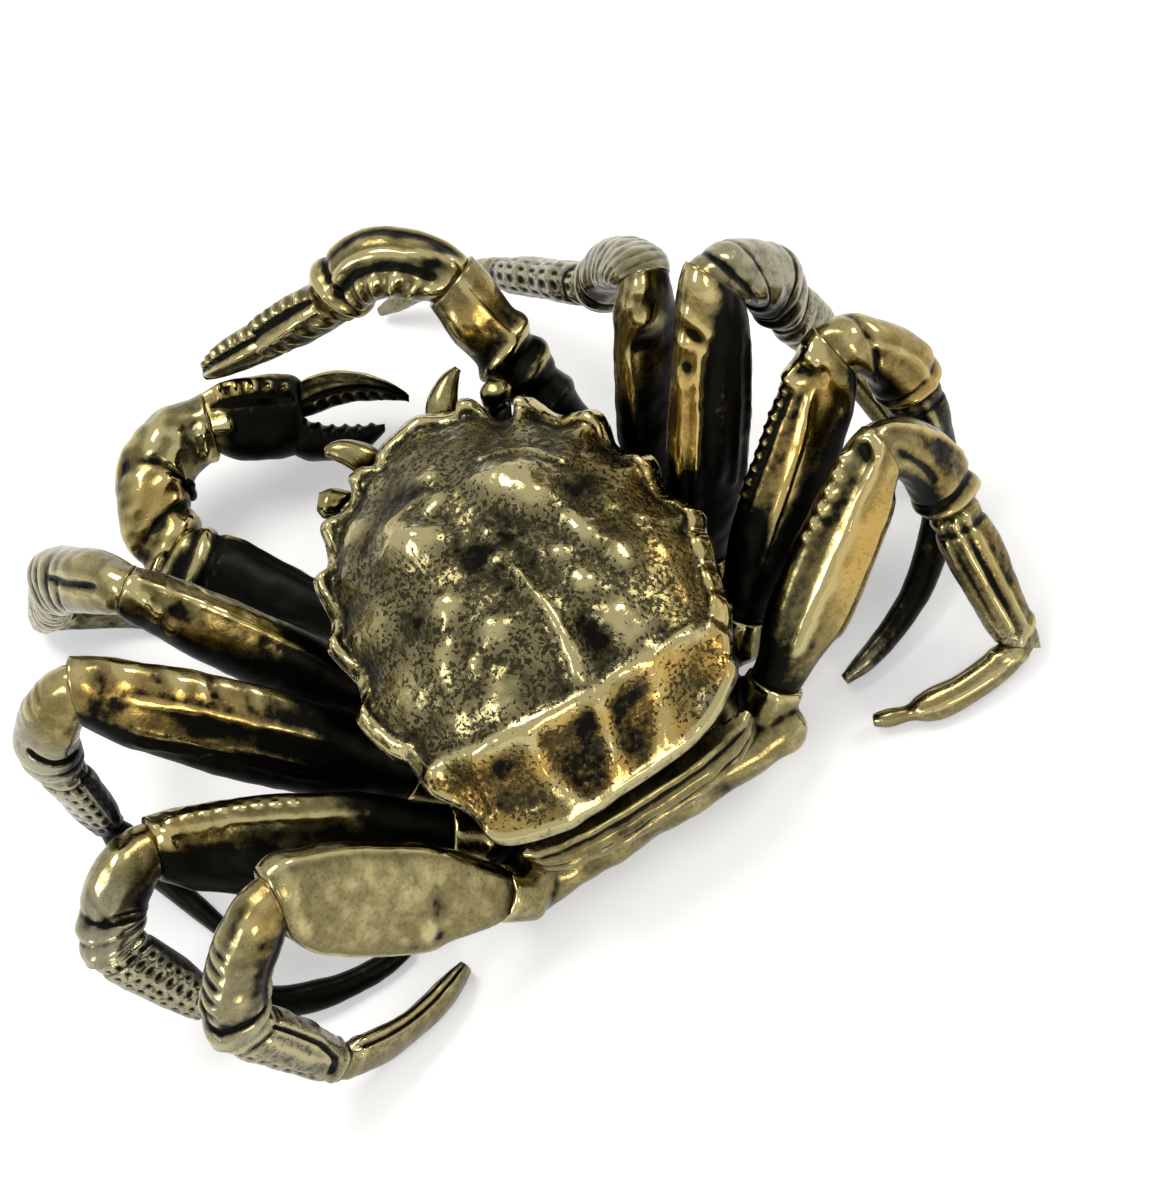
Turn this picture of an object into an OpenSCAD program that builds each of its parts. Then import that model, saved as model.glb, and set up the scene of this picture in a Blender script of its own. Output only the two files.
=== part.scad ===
// Crab figurine in solid brass, at its real size in millimetres.
// The crab faces -Y, +X is its left side, and its flat belly and toes rest on z = 0.

/* [Shell] */
// Width of the back shell over its widest teeth
shell_w = 20.3; // [18:0.1:23]
// Length of the back shell from its front teeth to its rear edge
shell_l = 22.6; // [20:0.1:25]
// Height of the shell's edge above the table, halfway along it
shell_edge_z = 11.4; // [10.5:0.1:12.5]
// Rise of the shell's dome above its edge
dome_h = 5.2; // [4:0.1:6.5]
// Thickness of the shell's edge
edge_t = 1.1; // [0.8:0.1:1.6]
// How much lower the rear of the edge is than its front
edge_fall = 2.5; // [1.5:0.1:3.5]
// Height of the large bosses on the shell
boss_h = 1.1; // [0.6:0.1:1.5]
// Distance from the crab's middle back to the cross ridge of the shell
ridge_y = 6.6; // [6:0.1:7.2]
// How much further forward the ends of the cross ridge are
ridge_sweep = 2.6; // [1.6:0.1:3.4]
// Height of the cross ridge
ridge_h = 0.45; // [0.2:0.05:0.7]
// Width of the cross ridge
ridge_w = 0.7; // [0.5:0.05:1]
// Height of the ribs behind the cross ridge
rib_h = 0.35; // [0.1:0.05:0.6]
// Width of the ribs behind the cross ridge
rib_w = 0.6; // [0.4:0.05:0.9]
// Depth of the steep rear facet behind the cross ridge
facet_depth = 1.3; // [0.6:0.1:1.8]
// Length of that facet from the ridge to the rear edge
facet_l = 4.0; // [3.4:0.1:4.6]

/* [Body] */
// Width of the body at its limb seats
body_w = 16.4; // [15.6:0.1:17]
// Length of the body before its ends are cut flat
body_l = 19.8; // [19:0.1:21]
// Height of the body, where the shell sits on it
body_h = 8.0; // [7.6:0.1:8.6]
// Width of the flat pad under the belly
belly_w = 9.6; // [8:0.1:11]
// Length of the flat pad under the belly
belly_l = 13.0; // [11:0.1:14]
// Distance from the crab's middle to the flat rear wall of the body
rear_wall_y = 9.0; // [8.8:0.1:9.2]
// How far the flat front wall of the body stands in front of the shell's seat
front_step = 0.05; // [0:0.05:0.3]
// Height of the small pad under the belly
belly_pad_h = 0.6; // [0.4:0.1:0.9]
// How far the rear bands stand behind the rear wall
tail_depth = 1.9; // [1.2:0.1:2.4]
// Width of the rear bands
tail_w = 13.4; // [12:0.1:14]
// Gap between the rear bands and what lies above and below them
tail_gap = 0.2; // [0.1:0.05:0.5]
// Thickness of the rear rim that joins the last two leg seats
rim_d = 2.6; // [2.2:0.1:2.8]
// How far the rear rim reaches forward under the body
rim_l = 2.2; // [1.6:0.1:3]

/* [Face] */
// Width of the face block at the body
face_w = 9.6; // [8.6:0.1:10]
// How far the face block reaches in front of the body
face_depth = 2.5; // [2:0.1:2.8]
// Height of the face block
face_h = 4.8; // [4:0.1:5.2]
// How far the top of the face lies below the shell
face_drop = 0.4; // [0.3:0.05:0.8]
// Radius of the eye stubs
eye_r = 0.78; // [0.6:0.02:0.95]
// Length of the eye stubs
eye_len = 2.7; // [2.2:0.1:3.2]
// Distance of each eye from the middle
eye_x = 4.0; // [3.7:0.1:4.2]
// How far below the top of the face the eyes start
eye_drop = 0.6; // [0.5:0.05:1]
// Radius of the feelers where they start
feeler_r = 0.85; // [0.6:0.02:0.95]
// Length of the feelers from root to tip
feeler_len = 4.6; // [3.8:0.1:5]
// Distance of the left feeler from the middle
left_feeler_x = 2.1; // [1.9:0.1:2.2]
// Distance of the right feeler from the middle
right_feeler_x = 1.2; // [1:0.1:1.6]
// How far below the top of the face the feelers start
feeler_drop = 0.9; // [0.8:0.05:1.2]

/* [Limb seats] */
// Distance of the middle leg seats from the crab's middle
seat_x = 9.4; // [9:0.1:9.8]
// Height of the leg seats above the table
seat_z = 4.8; // [4.5:0.1:5.2]
// Radius of the round leg seats
seat_r = 1.5; // [1.4:0.02:1.7]
// Length of the round leg seats
seat_len = 1.6; // [1.4:0.1:1.9]
// Length of the part of each seat inside the body
root_len = 2.5; // [2:0.1:3]
// How much further back the left seats are than the right ones, halved
seat_shift = 0.9; // [0:0.1:1.2]

/* [Leg lengths] */
// Upper pieces of leg pairs 1 to 4
upper_len = [15.5, 18.1, 15.1, 13.9]; // [12:0.1:20]
// Knee pieces of leg pairs 1 to 4
knee_len = [8.1, 7.0, 5.3, 7.0]; // [5:0.1:9]
// Shin pieces of leg pairs 1 to 4
shin_len = [10.2, 7.2, 7.5, 8.4]; // [6:0.1:11]
// Toe pieces of leg pairs 1 to 4
toe_len = [10.6, 9.2, 10.9, 8.3]; // [8:0.1:12]

/* [Leg sections] */
// Widths of the flat upper pieces of left legs 1 to 4
left_upper_w = [3.9, 5.3, 5.2, 5.6]; // [3.4:0.1:6]
// Widths of the flat upper pieces of right legs 1 to 4
right_upper_w = [3.9, 4.7, 4.5, 4.2]; // [3.4:0.1:5]
// Thickness of the upper pieces
upper_t = 2.3; // [1.9:0.1:2.6]
// Width of the knee pieces
knee_w = 3.2; // [2.6:0.1:3.5]
// Thickness of the knee pieces
knee_t = 2.7; // [2.2:0.1:3]
// Width of the shins
shin_w = 2.9; // [2.3:0.1:3.1]
// Thickness of the shins
shin_t = 2.1; // [1.7:0.1:2.4]
// Widths of left toes 1 to 4 where they start
left_toe_w = [1.6, 1.6, 1.8, 2.3]; // [1.4:0.05:2.4]
// Widths of right toes 1 to 4 where they start
right_toe_w = [1.5, 1.6, 1.7, 1.7]; // [1.4:0.05:2.2]
// Thickness of the toes where they start
toe_t = 1.5; // [1.2:0.05:1.6]
// Bulge of the knee pieces out of their straight line
knee_bow = 0.9; // [0.5:0.1:1.2]
// Bulge of toes 1 to 4 out of their straight line
toe_bow = [0.7, 0.7, 1.2, 0.8]; // [0.3:0.1:1.4]

/* [Claws] */
// Length of the claw arms
arm_len = 12.6; // [11.6:0.1:13]
// Length of the left claw's wrist, end to end
left_wrist_len = 7.5; // [7:0.1:8.2]
// Length of the right claw's wrist, end to end
right_wrist_len = 6.9; // [6.5:0.1:7.6]
// Length of the palms
palm_len = 4.9; // [4.4:0.1:5.4]
// Length of the movable fingers
finger_len = 5.8; // [5.2:0.1:6.6]
// Length of the fixed fingers
fixed_finger_len = 5.0; // [4:0.1:5.6]
// Width of the claw arms
arm_w = 3.9; // [3.4:0.1:4.2]
// Width of the left claw's wrist
left_wrist_w = 4.2; // [3.7:0.1:4.7]
// Width of the right claw's wrist
right_wrist_w = 3.7; // [3.4:0.1:4.2]
// Bulge of the left claw's wrist out of its straight line
left_wrist_bow = 2.3; // [1.8:0.1:2.6]
// Bulge of the right claw's wrist out of its straight line
right_wrist_bow = 1.7; // [1.4:0.1:2.2]
// Width of the palms
palm_w = 4.3; // [3.8:0.1:4.6]
// Thickness of the palms
palm_t = 2.7; // [2.3:0.1:3]
// Width of the fingers where they start
finger_w = 2.0; // [1.7:0.05:2.1]

/* [Hidden] */

LEFT = 1;
RIGHT = -1;
brass = "#8f8148";
dark_brass = "#5a4c2c";
pale_brass = "#a49a68";
limb_sides = 12;
seat_fn = 32;
toe_tip_z = 0.72;

// Places along the body of the seats for the claws and the leg pairs, before the side shift
claw_seat_back = 0.4;
leg_seat_y = [-4.2, -0.2, 4.0, 8.2];
// How much nearer to the middle the outermost seats are
seat_inset = [0.6, 0, 0, 0.6];
claw_seat_inset = 2.2;

// Pose of each leg in degrees: heading and rise of the upper piece, the knee and the shin, then
// the heading of the toe. Heading 0 points straight out to the side and 90 points to the rear.
left_pose = [
    [-45, 46, -58, -37, -62, -63, 143],
    [-35, 38, -10, -60, 91, -83, 107],
    [-24, 20, 39, -3, 133, -70, 165],
    [-8, 48, 27, -39, 158, -70, -168]
];
right_pose = [
    [-34, 68, -108, -53, -115, -36, -139],
    [-29, 64, -13, -66, -1, -79, 81],
    [-24, 41, 34, -55, 111, -69, 153],
    [-18, 40, 30, -70, 97, -43, -173]
];
// Pose of each claw: heading and rise of the arm, the wrist and the palm
left_claw_pose = [-57, -3, -134, 11, 157, -17];
right_claw_pose = [-100, 48, -145, -13, -156, -31];
// Way that the flat of a leg's upper piece faces, between level (0) and up (90)
blade_tilt = 50;

function unit(v) = v / norm(v);
function mix(a, b, s) = a + (b - a) * s;
function sign_pow(v, p) = sign(v) * pow(abs(v), p);
function bump(x, y, at, r) = exp(-((x - at[0]) * (x - at[0]) + (y - at[1]) * (y - at[1])) / (r * r));
function heading(side, h, r) = [side * cos(h) * cos(r), sin(h) * cos(r), sin(r)];

// Solid through a list of rings that all have the same number of points
module loft(rings) {
    n = len(rings[0]);
    m = len(rings);
    walls = [
        for (i = [0 : m - 2], j = [0 : n - 1])
            let (k = (j + 1) % n)
                each [[i * n + j, (i + 1) * n + k, i * n + k],
                      [i * n + j, (i + 1) * n + j, (i + 1) * n + k]]
    ];
    first = [for (j = [0 : n - 1]) j];
    last = [for (j = [n - 1 : -1 : 0]) (m - 1) * n + j];
    polyhedron([for (r = rings) each r], concat([first], walls, [last]));
}

// Ring of a limb round the point c: a rounded section square to the direction along, slid
// along it onto the plane with the given normal, so that two pieces meet face to face
function limb_ring(c, along, normal, face, w, t) =
    let (
        up = unit(face - along * (face * along)),
        side = cross(up, along)
    )
    [
        for (j = [0 : limb_sides - 1])
            let (
                a = 360 * j / limb_sides,
                q = side * w / 2 * sign_pow(cos(a), 0.9) + up * t / 2 * sign_pow(sin(a), 0.9)
            )
            c + q - along * ((q * normal) / (along * normal))
    ];

// Rings of a limb piece from a to b. Each station of the profile is the share of the length,
// of the width and of the thickness, and the bow bends the middle of the piece aside.
function limb_rings(a, b, na, nb, bow, face, w, t, profile) = [
    for (p = profile)
        let (s = p[0])
            limb_ring(
                mix(a, b, s) + bow * 4 * s * (1 - s),
                unit((b - a) + bow * 4 * (1 - 2 * s)),
                unit(mix(na, nb, s)),
                face, w * p[1], t * p[2]
            )
];

upper_profile = [
    [0, 0.62, 0.95], [0.1, 0.74, 1], [0.3, 0.96, 1.02], [0.55, 1, 1],
    [0.78, 0.9, 1], [0.92, 0.76, 1.12], [1, 0.64, 1.02]
];
knee_profile = [[0, 0.84, 0.84], [0.16, 1, 0.98], [0.5, 1.05, 1.06], [0.84, 1.1, 1.08], [1, 0.98, 0.96]];
shin_profile = [[0, 0.84, 0.86], [0.12, 1, 1], [0.5, 1.02, 1], [0.86, 0.84, 0.9], [1, 0.7, 0.78]];
toe_profile = [
    [0, 0.94, 0.92], [0.14, 1.06, 1.04], [0.42, 0.96, 0.94],
    [0.72, 0.78, 0.78], [0.92, 0.58, 0.58], [1, 0.36, 0.38]
];
arm_profile = [
    [0, 0.72, 0.74], [0.1, 0.82, 0.84], [0.24, 0.76, 0.8],
    [0.55, 0.92, 0.94], [0.86, 1.04, 1.04], [1, 0.94, 0.94]
];
wrist_profile = [[0, 0.76, 0.78], [0.1, 0.88, 0.9], [0.32, 1, 1.02], [0.62, 1.02, 1.02], [0.88, 0.92, 0.92], [1, 0.8, 0.8]];
palm_profile = [[0, 0.72, 0.9], [0.16, 0.9, 1], [0.5, 1, 1.02], [0.85, 0.97, 0.95], [1, 0.92, 0.88]];
finger_profile = [
    [0, 0.9, 0.9], [0.14, 1, 1], [0.42, 0.9, 0.9],
    [0.7, 0.68, 0.7], [0.9, 0.42, 0.46], [1, 0.2, 0.24]
];

// Level direction square to a limb's heading, towards the rear
function rear_of(d) = unit([-d[1] * sign(d[0]), abs(d[0]), 0]);

function seat_place(side, i) = [side * (seat_x - seat_inset[i]), leg_seat_y[i] + side * seat_shift, seat_z];

// The five joint places of a leg. The toe's rise is whatever sets its tip on the table.
function leg_places(side, i) =
    let (
        pose = side == LEFT ? left_pose[i] : right_pose[i],
        a = seat_place(side, i),
        b = a + upper_len[i] * heading(side, pose[0], pose[1]),
        c = b + knee_len[i] * heading(side, pose[2], pose[3]),
        d = c + shin_len[i] * heading(side, pose[4], pose[5]),
        reach = sqrt(max(1, toe_len[i] * toe_len[i] - (d[2] - toe_tip_z) * (d[2] - toe_tip_z)))
    )
    [a, b, c, d, [d[0] + side * reach * cos(pose[6]), d[1] + reach * sin(pose[6]), toe_tip_z]];

// Sideways bulge of the piece between two joints, towards the outside of the bend
function outward(before, along, after, size) =
    let (v = unit(before) - unit(after), w = v - unit(along) * (v * unit(along)))
    unit(w) * size;

// The same for a toe, kept level so that it stays above the table
function level_outward(before, along, size) =
    let (v = unit(before) - unit(along), flat = [v[0], v[1], 0], w = flat - unit(along) * (flat * unit(along)))
    unit(w) * size;

// Turn the vector v, square to the direction a, by the turn that takes a to the direction b
function carried(v, a, b) = v - (a + b) * ((v * b) / (1 + a * b));

// Start, end, plane normals and bow of each of the four pieces of a leg
function leg_piece(side, i, k) =
    let (
        p = leg_places(side, i),
        d = [for (j = [0 : 3]) p[j + 1] - p[j]],
        bows = [
            [0, 0, 0],
            outward(d[0], d[1], d[2], knee_bow),
            [0, 0, 0],
            level_outward(d[2], d[3], toe_bow[i])
        ],
        starts = [for (j = [0 : 3]) unit(d[j] + 4 * bows[j])],
        ends = [for (j = [0 : 3]) unit(d[j] - 4 * bows[j])],
        na = k == 0 ? starts[0] : unit(ends[k - 1] + starts[k]),
        nb = k == 3 ? ends[3] : unit(ends[k] + starts[k + 1])
    )
    [p[k], p[k + 1], na, nb, bows[k]];

module leg(side, i, k) {
    piece = leg_piece(side, i, k);
    p = leg_places(side, i);
    d = [for (j = [0 : 3]) unit(p[j + 1] - p[j])];
    flat = rear_of(d[0]) * cos(blade_tilt) + [0, 0, sin(blade_tilt)];
    face_0 = unit(flat - d[0] * (flat * d[0]));
    face_1 = carried(face_0, d[0], d[1]);
    face_2 = carried(face_1, d[1], d[2]);
    face = [face_0, face_1, face_2, carried(face_2, d[2], d[3])][k];
    upper_w = side == LEFT ? left_upper_w : right_upper_w;
    toe_w = side == LEFT ? left_toe_w : right_toe_w;
    w = [upper_w[i], knee_w, shin_w, toe_w[i]][k];
    t = [upper_t, knee_t, shin_t, toe_t][k];
    profile = [upper_profile, knee_profile, shin_profile, toe_profile][k];
    color([brass, brass, pale_brass, dark_brass][k])
        loft(limb_rings(piece[0], piece[1], piece[2], piece[3], piece[4], face, w, t, profile));
}

function claw_seat(side) = [side * (seat_x - claw_seat_inset), claw_seat_back - front_wall_y + side * seat_shift, seat_z];

// Joint places of a claw: seat, arm end, wrist end and palm end
function claw_places(side) =
    let (
        pose = side == LEFT ? left_claw_pose : right_claw_pose,
        a = claw_seat(side),
        b = a + arm_len * heading(side, pose[0], pose[1]),
        c = b + (side == LEFT ? left_wrist_len : right_wrist_len) * heading(side, pose[2], pose[3]),
        palm = heading(side, pose[4], pose[5])
    )
    [a, b, c, c + palm_len * palm];

// Ways that the flat of the arm and wrist and the flat of each palm face
claw_face = [0, 0.5, 0.86];
left_palm_face = claw_face;
right_palm_face = [-0.1, -0.89, 0.45];
function palm_face(side) = side == LEFT ? left_palm_face : right_palm_face;

// Start, end, plane normals and bow of the arm, the wrist and the palm
function claw_piece(side, k) =
    let (
        p = claw_places(side),
        d = [for (j = [0 : 2]) p[j + 1] - p[j]],
        wrist_bow = side == LEFT ? left_wrist_bow : right_wrist_bow,
        bows = [[0, 0, 0], outward(d[0], d[1], d[2], wrist_bow), [0, 0, 0]],
        starts = [for (j = [0 : 2]) unit(d[j] + 4 * bows[j])],
        ends = [for (j = [0 : 2]) unit(d[j] - 4 * bows[j])],
        na = k == 0 ? starts[0] : unit(ends[k - 1] + starts[k]),
        nb = k == 2 ? ends[2] : unit(ends[k] + starts[k + 1])
    )
    [p[k], p[k + 1], na, nb, bows[k]];

module claw_arm(side) {
    p = claw_piece(side, 0);
    color(dark_brass) loft(limb_rings(p[0], p[1], p[2], p[3], p[4], claw_face, arm_w, arm_w * 0.86, arm_profile));
}

module claw_wrist(side) {
    p = claw_piece(side, 1);
    w = side == LEFT ? left_wrist_w : right_wrist_w;
    color(brass) loft(limb_rings(p[0], p[1], p[2], p[3], p[4], claw_face, w, w * 0.84, wrist_profile));
}

// Finger that starts on the end of the palm, offset to one side of its middle
module finger(side, shift, sunk, length, splay, w, shade) {
    p = claw_piece(side, 2);
    along = p[3];
    face = palm_face(side);
    up = unit(face - along * (face * along));
    across = cross(up, along);
    a = p[1] + across * shift - along * sunk;
    b = a + along * length + across * splay;
    color(shade) loft(limb_rings(a, b, along, unit(b - a), across * sign(shift) * finger_bow, face, w, w, finger_profile));
}

// Shift of each finger from the middle of the palm, and how far the fixed finger is sunk into it
finger_shift = (palm_w * palm_profile[4][1] - finger_w) / 2 - 0.1;
fixed_finger_overlap = 0.6;
finger_splay = 0.3;
finger_bow = 0.7;

module claw_palm(side) {
    p = claw_piece(side, 2);
    color(brass) loft(limb_rings(p[0], p[1], p[2], p[3], p[4], palm_face(side), palm_w, palm_t, palm_profile));
    finger(side, -side * finger_shift, fixed_finger_overlap, fixed_finger_len, 0, finger_w, brass);
}

module claw_finger(side) {
    finger(side, side * finger_shift, 0, finger_len, -side * finger_splay, finger_w, dark_brass);
}

// Front and rear edge of the shell, as the height of its rim at a place along the crab
function rim_z(y) = shell_edge_z - edge_fall * (y + 0.9) / shell_l;

// Left half of the shell's outline from front to rear, as shares of half its width and of its
// length, tooth tips and the notches between them
half_outline = [
    [0, -0.485], [0.1, -0.492], [0.17, -0.515], [0.26, -0.488], [0.34, -0.508],
    [0.43, -0.455], [0.49, -0.425], [0.61, -0.432], [0.66, -0.365], [0.72, -0.325],
    [0.825, -0.305], [0.84, -0.235], [0.87, -0.19], [0.955, -0.14], [0.935, -0.075],
    [0.94, -0.02], [1.0, 0.03], [0.955, 0.085], [0.935, 0.12], [0.965, 0.155],
    [0.9, 0.2], [0.85, 0.235], [0.885, 0.275], [0.8, 0.31], [0.745, 0.35],
    [0.74, 0.41], [0.63, 0.415], [0.5, 0.435], [0.36, 0.445], [0.2, 0.462], [0, 0.468]
];
half_count = len(half_outline);
shell_outline = [
    for (i = [0 : 2 * half_count - 3])
        let (
            on_left = i < half_count,
            p = on_left ? half_outline[i] : half_outline[2 * half_count - 2 - i]
        )
        [(on_left ? 1 : -1) * p[0] * shell_w / 2, p[1] * shell_l]
];
outline_count = len(shell_outline);
function smooth_outline(i) =
    let (n = outline_count)
    (shell_outline[(i + n - 2) % n] + shell_outline[(i + n - 1) % n] + shell_outline[i]
        + shell_outline[(i + 1) % n] + shell_outline[(i + 2) % n]) / 5;

// Bosses of the shell, as shares of half its width and of its length: place from the middle line,
// place along the crab and radius, then the share of boss_h
bosses = [
    [0.286, -0.173, 0.148, 1], [0.473, -0.319, 0.118, 0.5], [0.118, -0.319, 0.108, 0.4],
    [0.315, 0.013, 0.089, 0.5], [0.522, -0.013, 0.099, 0.6], [0.611, 0.066, 0.089, 0.4],
    [0.384, 0.097, 0.118, 0.6], [0.67, -0.15, 0.118, 0.5], [0.749, -0.027, 0.089, 0.4],
    [0.355, 0.204, 0.118, 0.5]
];
middle_ridge = [[0, -0.053, 0.128, 0.5], [0, 0.053, 0.099, 0.5], [0, 0.142, 0.099, 0.5], [0, 0.23, 0.099, 0.4]];
ridge_reach = 0.79;
rib_places = [0.02, 0.3];

function relief(x, y) =
    let (
        half = shell_w / 2,
        u = x / half,
        v = y / half,
        per = shell_l / half,
        raised = [for (b = bosses) b[3] * (bump(u, v, [b[0], b[1] * per], b[2]) + bump(u, v, [-b[0], b[1] * per], b[2]))],
        middle = [for (b = middle_ridge) b[3] * bump(u, v, [b[0], b[1] * per], b[2])],
        behind = y - ridge_y + ridge_sweep * u * u,
        cross_ridge = ridge_h * exp(-pow(behind / ridge_w, 2)) * (abs(u) < ridge_reach ? 1 : 0),
        facet = max(0, behind),
        ribs = [for (r = rib_places) rib_h * exp(-pow((abs(x) - r * half) / rib_w, 2)) * min(1, facet)]
    )
    boss_h * (sum(raised) + sum(middle)) + cross_ridge + sum(ribs)
        - facet_depth * min(1, facet / facet_l * 2.5) * (1 - min(1, facet / facet_l));

function sum(v, i = 0) = i < len(v) ? v[i] + sum(v, i + 1) : 0;

// Ring of the shell's top at share f of the way from its middle to its rim
function shell_ring(f) = [
    for (i = [0 : outline_count - 1])
        let (
            plain = smooth_outline(i),
            p = mix(plain, shell_outline[i], max(0, f - 0.6) / 0.4) * f,
            fade = min(1, (1 - f) / 0.14)
        )
        [p[0], p[1], rim_z(p[1]) + dome_h * (1 - pow(f, 2.5)) + relief(p[0], p[1]) * fade]
];
function flat_ring(share, z) = [
    for (i = [0 : outline_count - 1])
        let (p = smooth_outline(i) * share) [p[0], p[1], z]
];
shell_rings = [1, 0.94, 0.86, 0.76, 0.66, 0.56, 0.46, 0.36, 0.26, 0.16, 0.07];
shell_seat = 0.74;
front_wall_y = front_step - smooth_outline(0)[1] * shell_seat;

module carapace() {
    under = [for (p = flat_ring(0.93, 0)) [p[0], p[1], rim_z(p[1]) - edge_t * 1.6]];
    lip = [for (p = shell_ring(1)) [p[0] * 0.985, p[1] * 0.985, rim_z(p[1]) - edge_t * 0.6]];
    color(brass) loft(concat([flat_ring(shell_seat, body_h), under, lip], [for (f = shell_rings) shell_ring(f)]));
}

// Ring of the body at height z
function body_ring(z, w, l) = [
    for (j = [0 : 23])
        let (a = 360 * j / 24) [w / 2 * sign_pow(cos(a), 0.72), l / 2 * sign_pow(sin(a), 0.72), z]
];
rim_inset = 1.0;
rim_half = seat_x - seat_inset[3] - rim_inset;
rim_z0 = 3.0;
rim_fn = 20;

// Round seat for a limb, with a root that reaches towards the middle of the body
module limb_seat(place, normal) {
    inner = place - normal * seat_len;
    inward = unit([0, inner[1] * 0.5, rim_z0] - inner);
    square_on = [0, 1, 0];
    loft([
        limb_ring(place, -normal, -normal, square_on, 2 * seat_r, 2 * seat_r),
        limb_ring(inner, -normal, unit(inward - normal), square_on, 2 * seat_r, 2 * seat_r),
        limb_ring(inner + root_len * inward, inward, inward, square_on, 1.8 * seat_r, 1.8 * seat_r)
    ]);
}

module body() {
    color(dark_brass) {
        difference() {
            loft([
                body_ring(belly_pad_h / 2, body_w * 0.72, body_l * 0.8),
                body_ring(body_h * 0.2, body_w * 0.86, body_l * 0.92),
                body_ring(body_h * 0.4, body_w * 0.97, body_l),
                body_ring(body_h * 0.65, body_w, body_l),
                body_ring(body_h * 0.85, body_w * 0.94, body_l * 0.97),
                body_ring(body_h, body_w * 0.84, body_l * 0.92)
            ]);
            translate([-body_w, rear_wall_y, -1]) cube([2 * body_w, body_l, 2 * body_h]);
            translate([-body_w, -front_wall_y - body_l, -1]) cube([2 * body_w, body_l, 2 * body_h]);
        }
        linear_extrude(height = belly_pad_h) belly_outline();
        rear_rim();
        for (side = [LEFT, RIGHT]) {
            for (i = [0 : 3]) limb_seat(seat_place(side, i), leg_piece(side, i, 0)[2]);
            limb_seat(claw_seat(side), claw_piece(side, 0)[2]);
        }
    }
}

// Rounded slab across the back, between the seats of the last two legs
module rear_rim() {
    hull()
        for (x = [-rim_half, rim_half], y = [rear_wall_y - rim_l, rear_wall_y])
            translate([x, y, rim_z0]) sphere(d = rim_d, $fn = rim_fn);
}

module belly_outline() {
    corner = 2.4;
    for (x = [-1, 1], y = [-1, 1])
        translate([x * (belly_w / 2 - corner), y * (belly_l / 2 - corner)]) circle(r = corner, $fn = seat_fn);
    square([belly_w, belly_l - 2 * corner], center = true);
    square([belly_w - 2 * corner, belly_l], center = true);
}

// Section of the rear bands: share of their depth behind the rear wall, and share of their height
tail_section = [
    [0, 0], [0.6, 0], [0.86, 0.08], [0.9, 0.22], [0.7, 0.31], [0.82, 0.4],
    [1, 0.55], [0.9, 0.7], [0.66, 0.76], [0.74, 0.84], [0.7, 0.96], [0, 1]
];
tail_middle = 0.5;
tail_low_z = rim_z0 + rim_d / 2 + tail_gap;
tail_high_z = body_h - tail_gap;
tail_stations = [-1, -0.92, -0.75, -0.5, -0.25, 0, 0.25, 0.5, 0.75, 0.92, 1];

module tail() {
    color(brass) loft([
        for (s = tail_stations)
            let (swell = max(0.12, sqrt(max(0, 1 - pow(abs(s), 2.6)))))
                [for (p = tail_section)
                    [s * tail_w / 2, rear_wall_y + p[0] * tail_depth * swell,
                     mix(tail_low_z, tail_high_z, mix(tail_middle, p[1], 0.7 + 0.3 * swell))]]
    ]);
}

// Ring of the face at share f of the way from the body to its front, and how high its top is there
function face_top(f) = body_h - face_drop + f * face_depth * 1.12;
function face_ring(f, w) = [
    for (j = [0 : 17])
        let (a = 360 * j / 18)
            [w / 2 * sign_pow(cos(a), 0.6) * (1 + 0.14 * sin(a)), -front_wall_y - f * face_depth,
             face_top(f) - face_h / 2 * (1 - sign_pow(sin(a), 0.6))]
];
face_front_y = -front_wall_y - face_depth;

module face() {
    color(dark_brass) loft([face_ring(1, face_w * 0.92), face_ring(0.5, face_w * 0.96), face_ring(0, face_w)]);
}

module left_eye() { eye(LEFT); }
module right_eye() { eye(RIGHT); }
module left_feeler() { feeler(LEFT); }
module right_feeler() { feeler(RIGHT); }

eye_profile = [[0, 0.8, 0.8], [0.3, 0.82, 0.82], [0.6, 1, 1], [0.85, 1, 1], [1, 0.6, 0.6]];
feeler_profile = [[0, 0.8, 0.8], [0.2, 0.96, 0.96], [0.45, 1, 1], [0.7, 0.8, 0.8], [0.88, 0.56, 0.56], [1, 0.26, 0.26]];
forward = [0, -1, 0];
left_eye_way = [0.75, -0.55, 0.3];
right_eye_way = [-0.35, -0.45, 0.8];
left_feeler_way = [0.5, -0.6, 0.62];
right_feeler_way = [-0.54, -0.66, 0.52];
left_feeler_bow = [-0.3, -0.4, 0.5];
right_feeler_bow = [0.6, -0.4, 0.3];

module eye(side) {
    a = [side * eye_x, face_front_y, face_top(1) - eye_drop];
    b = a + eye_len * unit(side == LEFT ? left_eye_way : right_eye_way);
    color(brass)
        loft(limb_rings(a, b, forward, unit(b - a), [0, 0, 0], [0, 0, 1], 2 * eye_r, 2 * eye_r, eye_profile));
}

module feeler(side) {
    a = [side == LEFT ? left_feeler_x : -right_feeler_x, face_front_y, face_top(1) - feeler_drop];
    b = a + feeler_len * unit(side == LEFT ? left_feeler_way : right_feeler_way);
    bow = side == LEFT ? left_feeler_bow : right_feeler_bow;
    end = unit(b - a - 4 * bow);
    color(brass)
        loft(limb_rings(a, b, forward, end, bow, [0, 1, 1], 2 * feeler_r, 2 * feeler_r, feeler_profile));
}

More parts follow.
